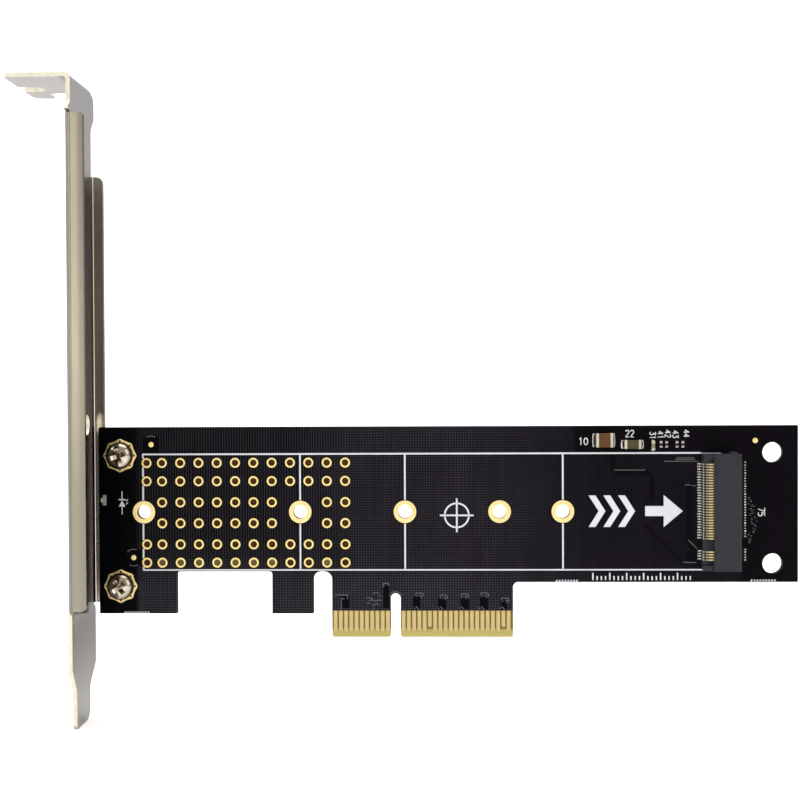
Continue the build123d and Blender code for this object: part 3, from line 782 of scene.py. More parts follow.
def board_piece(material):
    """The board with its thermal vias drilled from both sides down to their plugs."""
    drills = bmesh.new()
    for x, z, _, _ in via_places():
        for base, side in ((FRONT - 0.3, 1), (BACK + 0.3, -1)):
            depth = VIA_PLUG_DEPTH + 0.3
            lathe(drills, [(0, 0), (VIA_HOLE / 2, 0), (VIA_HOLE / 2, depth), (0, depth)], (x, z), base, side, 20, False)
    board = cut_out(eased(welded("circuit_board"), 0.07, 40, 1), drills)
    return finished("board", board, [material], ["circuit_board"], 30)


def ring_profile(outer, inner, height, depth=0.0):
    """Section of a plated land, slightly domed, with a barrel that goes down into its hole."""
    crown = height * 1.25
    edge = 0.06
    return [
        (inner, -depth),
        (inner, height * 0.7),
        (inner + edge, crown),
        (outer - edge, crown),
        (outer, height * 0.6),
        (outer, 0.0),
        (inner + 0.035, 0.0),
        (inner + 0.035, -depth),
    ]


def via_lands(material):
    """Plated ring of each thermal via, on both sides of the board."""
    bm = bmesh.new()
    for x, z, _, _ in via_places():
        profile = ring_profile(VIA_LAND / 2, VIA_HOLE / 2 - 0.035, COPPER, VIA_PLUG_DEPTH)
        lathe(bm, profile, (x, z), FRONT, -1, 28)
        lathe(bm, profile, (x, z), BACK, 1, 20)
    return finished("via_rings", bm, [material], ["thermal_via_lands"])


def via_plugs(dark, grey):
    """Filling of each via: a shallow dish, dark brown in most and greyish in some of the lowest row."""
    bm = bmesh.new()
    plug = VIA_HOLE / 2 - 0.03
    rng = random.Random(7)
    for x, z, row, column in via_places():
        dull = row == 5 and (column in (1, 2, 3, 4, 5, 6, 10) or rng.random() < 0.1)
        level = -VIA_PLUG_DEPTH * (0.2 if dull else 0.4 + 0.15 * rng.random())
        start = len(bm.faces)
        for base, side in ((FRONT, -1), (BACK, 1)):
            profile = [(0, level - 0.12), (plug * 0.6, level - 0.08), (plug, level), (plug, level - 0.14), (0, level - 0.16)]
            lathe(bm, profile, (x, z), base, side, 20, False)
        bm.faces.ensure_lookup_table()
        for face in bm.faces[start:]:
            face.material_index = 1 if dull else 0
    return finished("via_plugs", bm, [dark, grey])


def standoff_rings(material):
    """Plated land of each standoff hole, on both sides of the board."""
    bm = bmesh.new()
    inner = STANDOFF_HOLE / 2
    outer = STANDOFF_LAND / 2
    top = COPPER * 1.2
    profile = [
        (inner, 0.0),
        (inner, COPPER * 0.6),
        (inner + 0.06, top),
        (outer - 0.06, top),
        (outer, COPPER * 0.6),
        (outer, 0.0),
    ]
    for place in STANDOFFS:
        lathe(bm, profile, place, FRONT, -1, 64)
        lathe(bm, profile, place, BACK, 1, 64)
    return finished("standoff_rings", bm, [material], ["standoff_lands"])


def edge_fingers(name, node, material, base, side, short):
    """Gold contacts with rounded lower ends and a slightly rounded face."""
    bm = bmesh.new()
    half = CONTACT_WIDTH / 2
    for i, x in enumerate(CONTACTS_LEFT + CONTACTS_RIGHT):
        bottom = CONTACT_BOTTOM + (CONTACT_LOSS if i in short else 0.0)
        end = half * (0.55 if i in short else 1.0)
        outline = []
        for step in range(9):
            angle = math.pi + math.pi * step / 8
            outline.append((x + half * math.cos(angle), bottom + end + end * math.sin(angle)))
        outline += [(x + half, CONTACT_TOP), (x - half, CONTACT_TOP)]
        raised(bm, outline, base, COPPER, side, 0.8)
    return finished(name, bm, [material], [node])


def screw_rings(gold, dark):
    """Scalloped land under each screw, with a small filled via in each lobe."""
    bm = bmesh.new()
    marks = bmesh.new()
    for z_mid in SCREW_HEIGHTS:
        inner = THREAD_RADIUS + 0.15
        steps = 96
        rings = [[], [], [], []]
        for i in range(steps):
            angle = 2 * math.pi * i / steps
            lobe = abs(math.cos((angle - math.pi / 2) * SCREW_LAND_LOBES / 2)) ** 3
            outer = SCREW_LAND / 2 - 0.04 + lobe * 0.28
            heights = ((inner, 0.0), (inner, COPPER), (outer - 0.05, COPPER), (outer, 0.0))
            for ring, (radius, height) in zip(rings, heights):
                x = SCREW_X + radius * math.cos(angle)
                ring.append(bm.verts.new((x, FRONT - height, z_mid + radius * math.sin(angle))))
        for lower, upper in zip(rings, rings[1:] + rings[:1]):
            for i in range(steps):
                j = (i + 1) % steps
                bm.faces.new((lower[i], lower[j], upper[j], upper[i]))
        for k in range(SCREW_LAND_LOBES):
            angle = math.pi / 2 + 2 * math.pi * k / SCREW_LAND_LOBES
            x = SCREW_X + (SCREW_LOBE_PLACE + 0.1) * math.cos(angle)
            z = z_mid + (SCREW_LOBE_PLACE + 0.1) * math.sin(angle)
            raised(marks, circle(x, z, 0.19, 12), FRONT - COPPER, 0.012, -1, 0.5)
    finished("screw_land_rings", bm, [gold], ["screw_lands"])
    finished("screw_land_marks", marks, [dark])


def alignment_dots(material):
    """Round bare copper dots."""
    bm = bmesh.new()
    for place in FIDUCIALS:
        radius = FIDUCIAL / 2
        profile = [(0, COPPER), (radius * 0.85, COPPER), (radius, COPPER * 0.4), (radius, 0), (0, 0)]
        lathe(bm, profile, place, FRONT, -1, 32, False)
    return finished("alignment_dots", bm, [material], ["fiducial_pads"])


# Printed marks


def line_gaps(x, low, high):
    """Stretches of an upright printed line that are left when it stops at each land that it meets."""
    stops = []
    lands = [(place, STANDOFF_LAND / 2) for place in STANDOFFS]
    lands += [((vx, vz), VIA_LAND / 2) for vx, vz, _, _ in via_places()]
    for (land_x, land_z), radius in lands:
        reach = radius + INK_GAP
        offset = abs(land_x - x)
        if offset < reach:
            half = math.sqrt(reach ** 2 - offset ** 2)
            stops.append((land_z - half, land_z + half))
    stretches = []
    start = low
    for stop_low, stop_high in sorted(stops):
        if stop_low > start:
            stretches.append((start, stop_low))
        start = max(start, stop_high)
    if start < high:
        stretches.append((start, high))
    return stretches


def drive_print(bm):
    """White frame of the drive and the cross line of each printed drive length."""
    half = LINE / 2
    low = DRIVE_LINE - PRINT_HALF
    high = DRIVE_LINE + PRINT_HALF
    raised(bm, bar(PRINT_LEFT - half, socket_low.x - 0.02, high - half, high + half, 0.14), FRONT, INK)
    raised(bm, bar(socket_low.x, 61.7, socket_high.z + 0.02, socket_high.z + 0.12), FRONT, INK)
    raised(bm, bar(PRINT_LEFT - half, 62.07, low - half, min(low + half, socket_low.z - 0.01), 0.12), FRONT, INK)
    for x in [PRINT_LEFT] + [SOCKET_SEAT - length for length in PRINTED_LENGTHS]:
        for start, stop in line_gaps(x, low + half, high - half):
            raised(bm, bar(x - half, x + half, start, stop), FRONT, INK)


def chevron(x, z, width, height, stroke):
    """Outline of an arrow head without a shaft, pointing along +X."""
    return [
        (x, z - height / 2),
        (x + stroke, z - height / 2),
        (x + width, z),
        (x + stroke, z + height / 2),
        (x, z + height / 2),
        (x + width - stroke, z),
    ]


def stroke(points, width):
    """Outline of an open line of even width, with mitred bends."""
    half = width / 2
    left = []
    right = []
    for i, point in enumerate(points):
        here = Vector(point)
        ways = []
        if i > 0:
            ways.append((here - Vector(points[i - 1])).normalized())
        if i < len(points) - 1:
            ways.append((Vector(points[i + 1]) - here).normalized())
        way = sum(ways, Vector((0.0, 0.0)))
        way.normalize()
        normal = Vector((-way.y, way.x))
        reach = half / max(0.5, normal.dot(Vector((-ways[0].y, ways[0].x))))
        left.append(tuple(here + normal * reach))
        right.append(tuple(here - normal * reach))
    return left + right[::-1]


DIGITS = {
    "0": [[(0.6, 0.2), (0.0, 1.2), (0.0, 2.8), (0.6, 3.9), (1.5, 3.9), (2.1, 2.8), (2.1, 1.2), (1.5, 0.2), (0.5, 0.1)]],
    "1": [[(0.3, 3.2), (1.1, 4.0), (1.1, 0.0)]],
    "2": [[(0.0, 3.3), (0.5, 4.0), (1.6, 4.0), (2.0, 3.4), (2.0, 2.6), (0.1, 0.1)], [(0.0, 0.0), (2.1, 0.0)]],
    "3": [[(0.0, 4.0), (2.0, 4.0), (1.0, 2.5), (1.7, 2.3), (2.1, 1.2), (1.5, 0.1), (0.5, 0.0), (0.0, 0.5)]],
    "4": [[(1.5, 0.0), (1.5, 4.0)], [(1.4, 3.8), (0.0, 1.3), (2.2, 1.3)]],
    "5": [[(2.0, 4.0), (0.2, 4.0), (0.1, 2.3), (1.3, 2.5), (2.1, 1.8), (2.0, 0.7), (1.3, 0.0), (0.0, 0.2)]],
    "6": [[(1.8, 4.0), (0.5, 2.8), (0.0, 1.3), (0.5, 0.1), (1.5, 0.1), (2.1, 1.1), (1.6, 2.1), (0.4, 2.0)]],
    "7": [[(0.0, 4.0), (2.1, 4.0), (0.7, 0.0)]],
}


def number(bm, digits, x, z, height, quarter_turns=0):
    """Plain number centred at a place, turned clockwise by quarter turns."""
    scale = height / 4
    turn = Matrix.Rotation(-math.pi / 2 * quarter_turns, 2)
    for i, digit in enumerate(digits):
        shift = 2.9 * (i - (len(digits) - 1) / 2)
        for line in DIGITS[digit]:
            points = []
            for u, v in line:
                place = turn @ Vector(((u - 1.05 + shift) * scale, (v - 2.0) * scale))
                points.append((x + place.x, z + place.y))
            raised(bm, stroke(points, height * 0.15), FRONT, INK)


def diode_mark(bm, x, z):
    """Sign of a light diode, upright, with two short rays."""
    raised(bm, bar(x - 0.08, x + 0.08, z + 0.75, z + 2.2), FRONT, INK)
    raised(bm, bar(x - 0.08, x + 0.08, z - 2.2, z - 0.75), FRONT, INK)
    raised(bm, bar(x - 0.65, x + 0.65, z + 0.5, z + 0.72), FRONT, INK)
    raised(bm, [(x - 0.65, z - 0.72), (x + 0.65, z - 0.72), (x, z + 0.45)], FRONT, INK)
    for up in (0.0, 0.6):
        raised(bm, stroke([(x + 0.75, z - 0.3 + up), (x + 1.15, z + 0.1 + up)], 0.14), FRONT, INK)


def target_mark(bm, x, z, radius):
    """Ring with a cross through it."""
    for start in (0, 180):
        raised(bm, arc_band(x, z, radius, LINE, start + 6, start + 84, 12), FRONT, INK)
        raised(bm, arc_band(x, z, radius, LINE, start + 96, start + 174, 12), FRONT, INK)
    reach = radius * 1.4
    half = LINE / 2
    raised(bm, bar(x - reach, x + reach, z - half, z + half, 0.12), FRONT, INK)
    for low, high in ((z - reach, z - half - 0.02), (z + half + 0.02, z + reach)):
        raised(bm, bar(x - half, x + half, low, high), FRONT, INK)


def plain_marks(bm):
    """Generic print: arrows towards the socket, a target, numbers beside the chips and a ruler."""
    for x in (36.7, 39.5, 42.3):
        raised(bm, chevron(x, 24.05, 3.2, 6.0, 1.3), FRONT, INK)
    arrow = [(47.4, 23.1), (50.9, 23.1), (50.9, 21.0), (54.5, 24.05), (50.9, 27.1), (50.9, 25.0), (47.4, 25.0)]
    raised(bm, arrow, FRONT, INK)
    target_mark(bm, 11.7, 23.3, 2.3)
    for i in range(24):
        x = 37.5 + 0.8 * i
        tall = 1.35 if i % 4 == 0 else 0.75
        raised(bm, bar(x - 0.13, x + 0.13, 10.95, 10.95 + tall), FRONT, INK)
    diode_mark(bm, -52.35, 25.8)
    number(bm, "10", 35.75, 37.3, 1.3)
    number(bm, "22", 44.5, 38.75, 1.25)
    labels = (("31", 48.85, 38.4), ("41", 50.3, 38.5), ("42", 51.7, 38.7), ("43", 53.15, 38.6), ("44", 55.2, 38.75))
    for digits, x, z in labels:
        number(bm, digits, x, z, 1.05, 1)
    number(bm, "75", 69.3, 23.85, 1.2, 1)
    for x_low, z_low, count in ((67.2, 10.68, 9), (30.4, 10.62, 8), (-52.1, 4.6, 9)):
        for i in range(count):
            x = x_low + 0.55 * i
            outline = [(x, z_low), (x + 0.26, z_low), (x + 0.46, z_low + 0.36), (x + 0.2, z_low + 0.36)]
            raised(bm, outline, FRONT, INK)


def printed_marks(material):
    """All white print on the component side."""
    bm = bmesh.new()
    drive_print(bm)
    plain_marks(bm)
    return finished("white_print", bm, [material], ["drive_outline_print"])


# Traces under the mask


def trace_hook(x, top):
    """Signal traces that come up from the edge contacts and end in a short cap over a bare patch."""
    return [
        [(x + 0.2, top - 0.35), (x + 0.35, top), (x + 1.45, top), (x + 1.65, top - 0.25), (x + 1.65, top - 0.7)],
        [(x + 0.95, top - 0.35), (x + 1.25, top - 0.5), (x + 1.3, top - 0.95)],
        [(x + 0.35, top - 0.55), (x + 0.6, top - 0.6)],
        [(x + 0.25, 5.9), (x + 0.85, 5.35)],
        [(x - 0.15, 5.7), (x + 0.1, 5.4)],
    ]


def trace_lines():
    """Signal traces that stand out in the mask, above the edge contacts and beside the socket."""
    lines = []
    for x, top in ((3.6, 8.5), (8.2, 8.1), (12.2, 8.3), (16.0, 8.5), (19.9, 7.5)):
        lines += trace_hook(x, top)
    lines += [
        [(-11.6, 8.1), (-9.2, 8.1), (-9.2, 7.3)],
        [(-10.4, 5.35), (-10.4, 7.4), (-9.8, 7.4)],
        [(-5.6, 7.55), (-4.7, 7.55), (-4.4, 7.3)],
        [(-4.4, 8.3), (-4.1, 8.55), (-3.5, 8.55), (-3.2, 8.3)],
        [(-5.1, 7.0), (-4.5, 7.2), (-3.9, 6.9), (-3.3, 7.15), (-2.7, 7.1)],
        [(-5.5, 6.6), (-4.9, 6.55)],
        [(-4.6, 6.35), (-4.1, 6.1), (-3.7, 6.4), (-3.1, 6.25)],
        [(-3.3, 7.9), (-2.8, 7.95)],
        [(-4.4, 5.7), (-4.0, 5.35)],
        [(-2.3, 9.6), (-2.3, 10.3), (-1.4, 10.3), (-1.4, 9.9)],
        [(41.5, 31.85), (47.4, 31.85)],
        [(54.45, 14.35), (57.0, 14.25)],
        [(54.9, 29.0), (56.0, 29.0)],
        [(56.2, 28.85), (57.0, 28.85)],
        [(55.5, 18.6), (57.2, 16.9)],
        [(53.3, 34.15), (56.7, 34.15)],
        [(53.1, 33.85), (56.8, 33.85)],
        [(51.0, 33.5), (57.4, 33.5)],
    ]
    rng = random.Random(11)
    for i in range(44):
        z = 26.6 - 0.2 * i + rng.uniform(-0.1, 0.1)
        reach = 1.7 * math.sin(math.pi * (26.9 - z) / 9.2)
        x = 66.7 + rng.uniform(0, max(0.3, reach))
        lines.append([(x, z), (x + rng.uniform(0.12, 0.35), z + rng.uniform(-0.2, 0.2))])
    for x, z, start, stop in ((-46.7, 36.95, 60, 120), (-50.2, 15.3, 70, 140), (-50.2, 15.3, 240, 300)):
        bend = []
        for i in range(7):
            angle = math.radians(start + (stop - start) * i / 6)
            bend.append((x + 1.6 * math.cos(angle), z + 1.6 * math.sin(angle)))
        lines.append(bend)
    arch = []
    for i in range(9):
        angle = math.radians(20 + 140 * i / 8)
        arch.append((1.25 * math.cos(angle), 7.45 + 1.3 * math.sin(angle)))
    lines.append(arch)
    return lines


def trace_relief(material):
    """Thin ridges where the mask runs over the signal traces."""
    bm = bmesh.new()
    for line in trace_lines():
        raised(bm, stroke(line, 0.13), FRONT, 0.022, -1, 0.5)
    return finished("trace_ridges", bm, [material])


# Screws


def recess_wing(turn, x, z):
    """Wedge that leaves one bar of the cross-shaped recess in a screw head."""
    bm = bmesh.new()
    angle = math.radians(turn)
    along = Vector((math.cos(angle), math.sin(angle)))
    across = Vector((-math.sin(angle), math.cos(angle)))
    rings = []
    sections = (
        (HEAD_HEIGHT + 0.2, RECESS_SPAN / 2 + 0.12, RECESS_WING / 2 + 0.04),
        (HEAD_HEIGHT - 0.35, RECESS_SPAN / 2 - 0.2, RECESS_WING / 2),
        (HEAD_HEIGHT - RECESS_DEPTH, 0.45, RECESS_WING / 2 - 0.12),
    )
    for height, reach, wide in sections:
        ring = []
        for u, v in ((-1, -1), (1, -1), (1, 1), (-1, 1)):
            point = along * (u * reach) + across * (v * wide)
            ring.append(bm.verts.new((x + point.x, FRONT - COPPER - height, z + point.y)))
        rings.append(ring)
    for lower, upper in zip(rings, rings[1:]):
        for i in range(4):
            j = (i + 1) % 4
            bm.faces.new((lower[i], lower[j], upper[j], upper[i]))
    bm.faces.new(rings[0])
    bm.faces.new(list(reversed(rings[-1])))
    return bm


def screw_shank(bm, x, z):
    """Threaded shank: a helical ridge down to a plain point."""
    length = screws_high.y - (FRONT - COPPER)
    steps = 40
    rows = int(length / THREAD_PITCH * 8)
    previous = None
    for row in range(rows + 1):
        along = length * row / rows
        ring = []
        for i in range(steps):
            phase = (along / THREAD_PITCH - i / steps) % 1.0
            ridge = abs(phase - 0.5) * 2
            radius = THREAD_RADIUS - THREAD_DEPTH * ridge
            radius = min(radius, THREAD_RADIUS - max(0.0, along - length + 0.45) * 0.8)
            angle = 2 * math.pi * i / steps
            ring.append(
                bm.verts.new((x + radius * math.cos(angle), FRONT - COPPER + along, z + radius * math.sin(angle)))
            )
        if previous:
            for i in range(steps):
                j = (i + 1) % steps
                bm.faces.new((previous[i], previous[j], ring[j], ring[i]))
        else:
            bm.faces.new(ring)
        previous = ring
    bm.faces.new(previous)


def screws_piece(material):
    """Pan-head screws with rounded rims, a cross recess and a thread."""
    whole = bmesh.new()
    for z, turn in zip(SCREW_HEIGHTS, SCREW_TURNS):
        head = bmesh.new()
        profile = [(0, 0), (HEAD_RADIUS - 0.1, 0), (HEAD_RADIUS, 0.1)]
        for step in range(25):
            angle = math.radians(90 * step / 24)
            radius = (HEAD_RADIUS - 0.02) * math.cos(angle) ** 0.85 if step < 24 else 0.0
            profile.append((radius, HEAD_SHOULDER + (HEAD_HEIGHT - HEAD_SHOULDER) * math.sin(angle)))
        lathe(head, profile, (SCREW_X, z), FRONT - COPPER, -1, 96, False)
        cut = cut_out(head, recess_wing(turn, SCREW_X, z))
        cut = cut_out(cut, recess_wing(turn + 90, SCREW_X, z))
        eased(cut, 0.06, 38, 2)
        mesh = bpy.data.meshes.new("screw_head")
        cut.to_mesh(mesh)
        cut.free()
        whole.from_mesh(mesh)
        bpy.data.meshes.remove(mesh)
        screw_shank(whole, SCREW_X, z)
    return finished("screws", whole, [material], ["bracket_screws"], 35)


# Chips


def cushion(bm, low, high, corner, segments=3):
    """Block with rounded edges between two corners."""
    centre = (Vector(low) + Vector(high)) / 2
    size = Vector(high) - Vector(low)
    part = bmesh.new()
    bmesh.ops.create_cube(part, size=1.0)
    bmesh.ops.scale(part, vec=size, verts=part.verts)
    bmesh.ops.translate(part, vec=centre, verts=part.verts)
    bmesh.ops.bevel(
        part, geom=part.edges[:], offset=corner, offset_type="OFFSET", segments=segments, profile=0.5, affect="EDGES"
    )
    mesh = bpy.data.meshes.new("block")
    part.to_mesh(mesh)
    part.free()
    bm.from_mesh(mesh)
    bpy.data.meshes.remove(mesh)


def chip_pieces(brown, olive, cream, black, tin, solder):
    """Capacitors, resistors, their end caps and the solder at their ends."""
    caps = bmesh.new()
    joints = bmesh.new()
    bodies = (
        ("bulk_capacitor_body", brown, "capacitor_brown", 0.5, True),
        ("filter_capacitor_body", olive, "capacitor_olive", 0.5, True),
        ("small_capacitor_body", cream, "capacitor_brown", 0.35, False),
    )
    for node, material, slot, cap, along_x in bodies:
        low, high = box_mm(node)
        bm = bmesh.new()
        cushion(bm, low, high, 0.05)
        finished(node + "_ceramic", bm, [material], [node], 50)
        for sign in (-1, 1):
            cap_low = low.copy()
            cap_high = high.copy()
            axis = 0 if along_x else 2
            if sign < 0:
                cap_low[axis] = low[axis] - cap
                cap_high[axis] = low[axis] + 0.04
            else:
                cap_low[axis] = high[axis] - 0.04
                cap_high[axis] = high[axis] + cap
            other = 2 - axis
            cap_low[other] -= 0.02
            cap_high[other] += 0.02
            cap_low.y -= 0.02
            cushion(caps, cap_low, cap_high, 0.09)
            if along_x:
                end = cap_low.x if sign < 0 else cap_high.x
                solder_wedge(joints, end, sign, 0.55, low.z, high.z, (FRONT - cap_low.y) * 0.62)
            else:
                end = cap_low.z if sign < 0 else cap_high.z
                pad = (low.x - 0.05, high.x + 0.05, min(end, end + sign * 0.25), max(end, end + sign * 0.25))
                raised(joints, bar(*pad, 0.08), FRONT, 0.12, -1, 0.8)
    resistor_low, resistor_high = box_mm("chip_resistor_bodies")
    bodies_bm = bmesh.new()
    for x in RESISTOR_LINES:
        cushion(
            bodies_bm,
            (x - 0.25, resistor_low.y, resistor_low.z),
            (x + 0.25, resistor_high.y, resistor_high.z),
            0.03,
        )
        for sign in (-1, 1):
            edge = resistor_low.z if sign < 0 else resistor_high.z
            z_low, z_high = sorted((edge - sign * 0.02, edge + sign * 0.22))
            cushion(caps, (x - 0.27, resistor_low.y - 0.02, z_low), (x + 0.27, FRONT, z_high), 0.06)
            pad_low, pad_high = sorted((edge + sign * 0.2, edge + sign * 0.36))
            raised(joints, bar(x - 0.27, x + 0.27, pad_low, pad_high, 0.05), FRONT, 0.1, -1, 0.8)
    finished("resistor_chips", bodies_bm, [black], ["chip_resistor_bodies"], 50)
    finished("chip_end_caps", caps, [tin], ["capacitor_terminals", "chip_resistor_terminals"], 50)
    finished("chip_solder", joints, [solder], ["solder_fillets"], 60)


RESISTOR_LINES = [50.4, 51.45, 53.4, 54.5]


def solder_wedge(bm, end, sign, reach, z_low, z_high, rise):
    """Hollow fillet of solder from the board up the end of a chip."""
    steps = 7
    columns = 7
    grid = []
    for i in range(steps + 1):
        t = i / steps
        out = reach * (1 - t) ** 1.0
        up = rise * t ** 2.2
        row = []
        for j in range(columns + 1):
            u = j / columns
            edge = math.sin(math.pi * u) ** 0.35
            z = z_low + (z_high - z_low) * u
            row.append(bm.verts.new((end + sign * out * (0.75 + 0.25 * edge), FRONT - 0.01 - up * edge, z)))
        grid.append(row)
    for i in range(steps):
        for j in range(columns):
            bm.faces.new((grid[i][j], grid[i][j + 1], grid[i + 1][j + 1], grid[i + 1][j]))
    back = [bm.verts.new((end, FRONT, z_low + (z_high - z_low) * j / columns)) for j in range(columns + 1)]
    for j in range(columns):
        bm.faces.new((back[j + 1], back[j], grid[0][j], grid[0][j + 1]))
        bm.faces.new((grid[-1][j], grid[-1][j + 1], back[j + 1], back[j]))
    for j in (0, columns):
        bm.faces.new([grid[i][j] for i in range(steps + 1)] + [back[j]])


# Socket tails


def row_places(start, counts):
    """Places of a row of socket contacts: two groups with a gap of four places between them."""
    first, second = counts
    upper = [start - 0.5 * i for i in range(first)]
    lower = [start - 0.5 * (first + 4 + i) for i in range(second)]
    return upper + lower


def tail_solder(material):
    """Small uneven beads of solder on the socket's tails."""
    bm = bmesh.new()
    rng = random.Random(3)
    spots = [(x, z) for z in row_places(33.0, (29, 4)) for x in (57.38, 57.8)]
    spots += [(66.27, z) for z in row_places(33.25, (29, 5)) if rng.random() < 0.55]
    for x, z in spots:
        radius = rng.uniform(0.1, 0.135)
        rise = rng.uniform(0.2, 0.27)
        shift = rng.uniform(-0.05, 0.05)
        profile = [(0, rise), (radius * 0.55, rise - 0.025), (radius, rise - 0.09), (radius * 1.05, 0), (0, 0)]
        lathe(bm, profile, (x + shift, z), FRONT, -1, 10, False)
    return finished("tail_solder", bm, [material], (), 60)


def socket_roots(material):
    """Top of each lower contact where it passes through the socket's sloping front bar."""
    bm = bmesh.new()
    x = socket_low.x
    top = SOCKET_LIP_HEIGHT
    slope = SOCKET_LIP_SLOPE
    section = [
        (x + 0.01, top - slope - 0.01),
        (x + 0.25, top - slope + 0.23),
        (x + 0.25, top - slope + 0.28),
        (x + 0.01, top - slope + 0.04),
    ]
    for z in row_places(33.0, (29, 4)):
        ends = []
        for side in (-0.11, 0.11):
            ends.append([bm.verts.new((along, FRONT - height, z + side)) for along, height in section])
        for i in range(len(section)):
            j = (i + 1) % len(section)
            bm.faces.new((ends[0][i], ends[0][j], ends[1][j], ends[1][i]))
        bm.faces.new(ends[0])
        bm.faces.new(list(reversed(ends[1])))
    return finished("socket_roots", bm, [material], (), 30)


# Stage


def stage_piece(material):
    """Pale floor that curves up far behind the card."""
    bm = bmesh.new()
    floor = bracket_low.z - 0.02
    turn = 350.0
    reach = 700.0
    rows = [(-2500.0, floor), (reach, floor)]
    for step in range(1, 17):
        angle = math.radians(90 * step / 16)
        rows.append((reach + turn * math.sin(angle), floor + turn * (1 - math.cos(angle))))
    rows.append((reach + turn, floor + 2500.0))
    edges = []
    for y, z in rows:
        edges.append((bm.verts.new((-2500.0, y, z)), bm.verts.new((2500.0, y, z))))
    for lower, upper in zip(edges, edges[1:]):
        bm.faces.new((lower[0], lower[1], upper[1], upper[0]))
    bmesh.ops.scale(bm, vec=(MM, MM, MM), verts=bm.verts)
    mesh = bpy.data.meshes.new("floor")
    bm.to_mesh(mesh)
    bm.free()
    for polygon in mesh.polygons:
        polygon.use_smooth = True
    mesh.materials.append(material)
    floor_object = bpy.data.objects.new("floor", mesh)
    bpy.context.scene.collection.objects.link(floor_object)


def soft_light(name, place, target, size, strength, colour=(1.0, 1.0, 1.0)):
    """Area light that faces a target; places are metres."""
    light = bpy.data.lights.new(name, "AREA")
    light.shape = "RECTANGLE"
    light.size, light.size_y = size
    light.energy = strength
    light.color = colour
    lamp = bpy.data.objects.new(name, light)
    lamp.location = place
    lamp.rotation_euler = (Vector(target) - Vector(place)).to_track_quat("-Z", "Y").to_euler()
    bpy.context.scene.collection.objects.link(lamp)


def studio():
    """Room light that is bright behind and at the horizon, and soft boxes in front, above and behind."""
    world = bpy.data.worlds.new("studio")
    world.use_nodes = True
    tree = world.node_tree
    background = next(n for n in tree.nodes if n.type == "BACKGROUND")
    background.inputs["Color"].default_value = (1.0, 0.955, 0.90, 1.0)
    direction = tree.nodes.new("ShaderNodeSeparateXYZ")
    tree.links.new(tree.nodes.new("ShaderNodeTexCoord").outputs["Generated"], direction.inputs[0])
    depth = tree.nodes.new("ShaderNodeMapRange")
    for socket, number in zip(list(depth.inputs)[1:5], (-0.9, 0.7, 0.45, 0.85)):
        socket.default_value = number
    tree.links.new(direction.outputs[1], depth.inputs[0])
    below = tree.nodes.new("ShaderNodeMapRange")
    for socket, number in zip(list(below.inputs)[1:5], (0.14, 0.03, 0.0, 1.05)):
        socket.default_value = number
    tree.links.new(direction.outputs[2], below.inputs[0])
    brightest = tree.nodes.new("ShaderNodeMath")
    brightest.operation = "MAXIMUM"
    tree.links.new(depth.outputs[0], brightest.inputs[0])
    tree.links.new(below.outputs[0], brightest.inputs[1])
    tree.links.new(brightest.outputs[0], background.inputs["Strength"])
    bpy.context.scene.world = world
    centre = (0.0, 0.0, 0.045)
    soft_light("strip", (-0.40, -1.2, 0.12), (-0.057, 0.0, 0.05), (0.24, 1.2), 1.05, (1.0, 0.96, 0.86))
    soft_light("left", (-1.05, -0.62, 0.55), centre, (0.7, 0.8), 3.3)
    soft_light("right", (1.0, -0.62, 0.6), centre, (0.7, 0.8), 2.8)
    soft_light("top", (0.0, -0.2, 1.2), centre, (1.2, 0.7), 3.4)
    soft_light("backdrop", (0.0, 0.1, 1.3), (0.0, 0.8, 0.1), (1.6, 0.8), 17.0)
    bpy.context.scene.view_settings.view_transform = "Standard"


def camera():
    """Camera at the photograph's place."""
    rx, ry, rz = (math.radians(turn) for turn in CAMERA_TURNS)
    turned = Matrix.Rotation(rz, 3, "Z") @ Matrix.Rotation(ry, 3, "Y") @ Matrix.Rotation(rx, 3, "X")
    to_frame = Matrix(((1, 0, 0), (0, 0, -1), (0, 1, 0)))
    data = bpy.data.cameras.new("camera")
    data.sensor_width = SENSOR
    data.lens = SENSOR * FOCAL_PIXELS / FRAME_PIXELS
    data.clip_start = 0.01
    data.clip_end = 20.0
    eye = bpy.data.objects.new("camera", data)
    eye.matrix_world = Matrix.Translation(Vector(CAMERA_PLACE) * MM) @ (to_frame @ turned).to_4x4()
    bpy.context.scene.collection.objects.link(eye)
    bpy.context.scene.camera = eye


def dress(node, material, slot=None):
    """Give a CAD node its finish."""
    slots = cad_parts[node].material_slots
    for place in slots:
        place.material = material
    if not len(slots):
        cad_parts[node].data.materials.append(material)


# Build

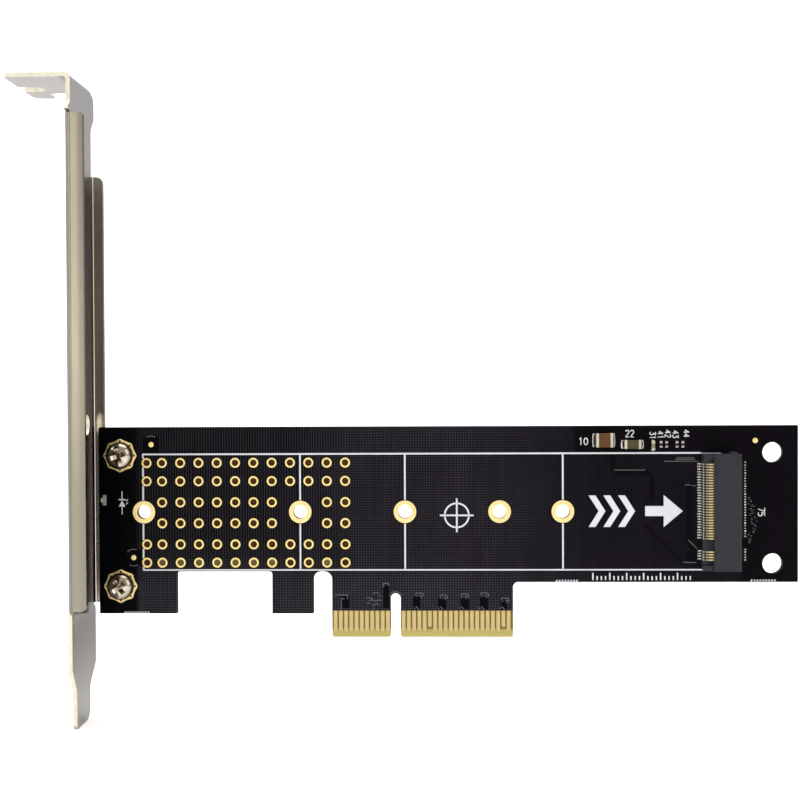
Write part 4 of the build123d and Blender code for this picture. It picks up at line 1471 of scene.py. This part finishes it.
mask = board_finish()
contact_gold = plated_finish("contact_gold", (0.61, 0.50, 0.252), (0.48, 0.38, 0.172), 0.45)
land_gold = plated_finish("land_gold", (0.93, 0.77, 0.39), (0.80, 0.62, 0.25), 0.4)
via_gold = plated_finish("via_gold", (0.98, 0.82, 0.36), (0.80, 0.62, 0.21), 0.4)
plug_dark = plug_finish("plug_dark", (0.022, 0.007, 0.001), (0.085, 0.030, 0.005))
plug_grey = plug_finish("plug_grey", (0.075, 0.052, 0.014), (0.175, 0.135, 0.055))
ink = ink_finish()
socket_plastic = moulded_finish("socket_plastic", (0.008, 0.008, 0.013), (0.014, 0.013, 0.021), 0.5, 0.36)
spring = spring_finish()
tin = tin_finish("tin", 0.34, (0.36, 0.34, 0.28), (0.72, 0.70, 0.60))
solder = tin_finish("solder", 0.24, (0.10, 0.10, 0.10), (0.85, 0.84, 0.80))
bead = tin_finish("bead", 0.24)
brown = ceramic_finish("capacitor_brown", (0.082, 0.032, 0.006), (0.122, 0.052, 0.013))
olive = ceramic_finish("capacitor_olive", (0.045, 0.041, 0.014), (0.070, 0.063, 0.026))
cream = ceramic_finish("capacitor_cream", (0.16, 0.14, 0.07), (0.26, 0.23, 0.13))
black = moulded_finish("resistor_black", (0.006, 0.006, 0.006), (0.012, 0.012, 0.012), 0.3)
lamp_case = moulded_finish("lamp_case", (0.20, 0.23, 0.20), (0.32, 0.35, 0.31), 0.45)
bracket_steel = bracket_finish()
screw_steel = screw_finish()

camera()
board_piece(mask)
via_lands(via_gold)
via_plugs(plug_dark, plug_grey)
standoff_rings(land_gold)
edge_fingers("front_fingers", "edge_contacts_front", contact_gold, FRONT, -1, SHORT_FRONT)
edge_fingers("back_fingers", "edge_contacts_back", contact_gold, BACK, 1, SHORT_BACK)
screw_rings(land_gold, plug_dark)
alignment_dots(land_gold)
printed_marks(ink)
trace_relief(trace_finish())
tail_solder(bead)
socket_roots(spring)
screws_piece(screw_steel)
chip_pieces(brown, olive, cream, black, tin, solder)
finished("bracket_sheet", eased(welded("bracket"), 0.09), [bracket_steel], ["bracket"], 35)
dress("m2_socket_housing", socket_plastic)
dress("m2_socket_contacts_lower", spring)
dress("m2_socket_contacts_upper", spring)
# Painted shade: the hold-downs get a nearly black tin so they stay dark beside the housing.
dress("m2_socket_hold_downs", tin_finish("hold_down_shade", 0.45, (0.05, 0.05, 0.05), (0.12, 0.12, 0.12)))
dress("indicator_led_body", lamp_case)
dress("indicator_led_lens", lens_finish())
dress("indicator_led_terminals", tin)
stage_piece(stage_finish())
studio()
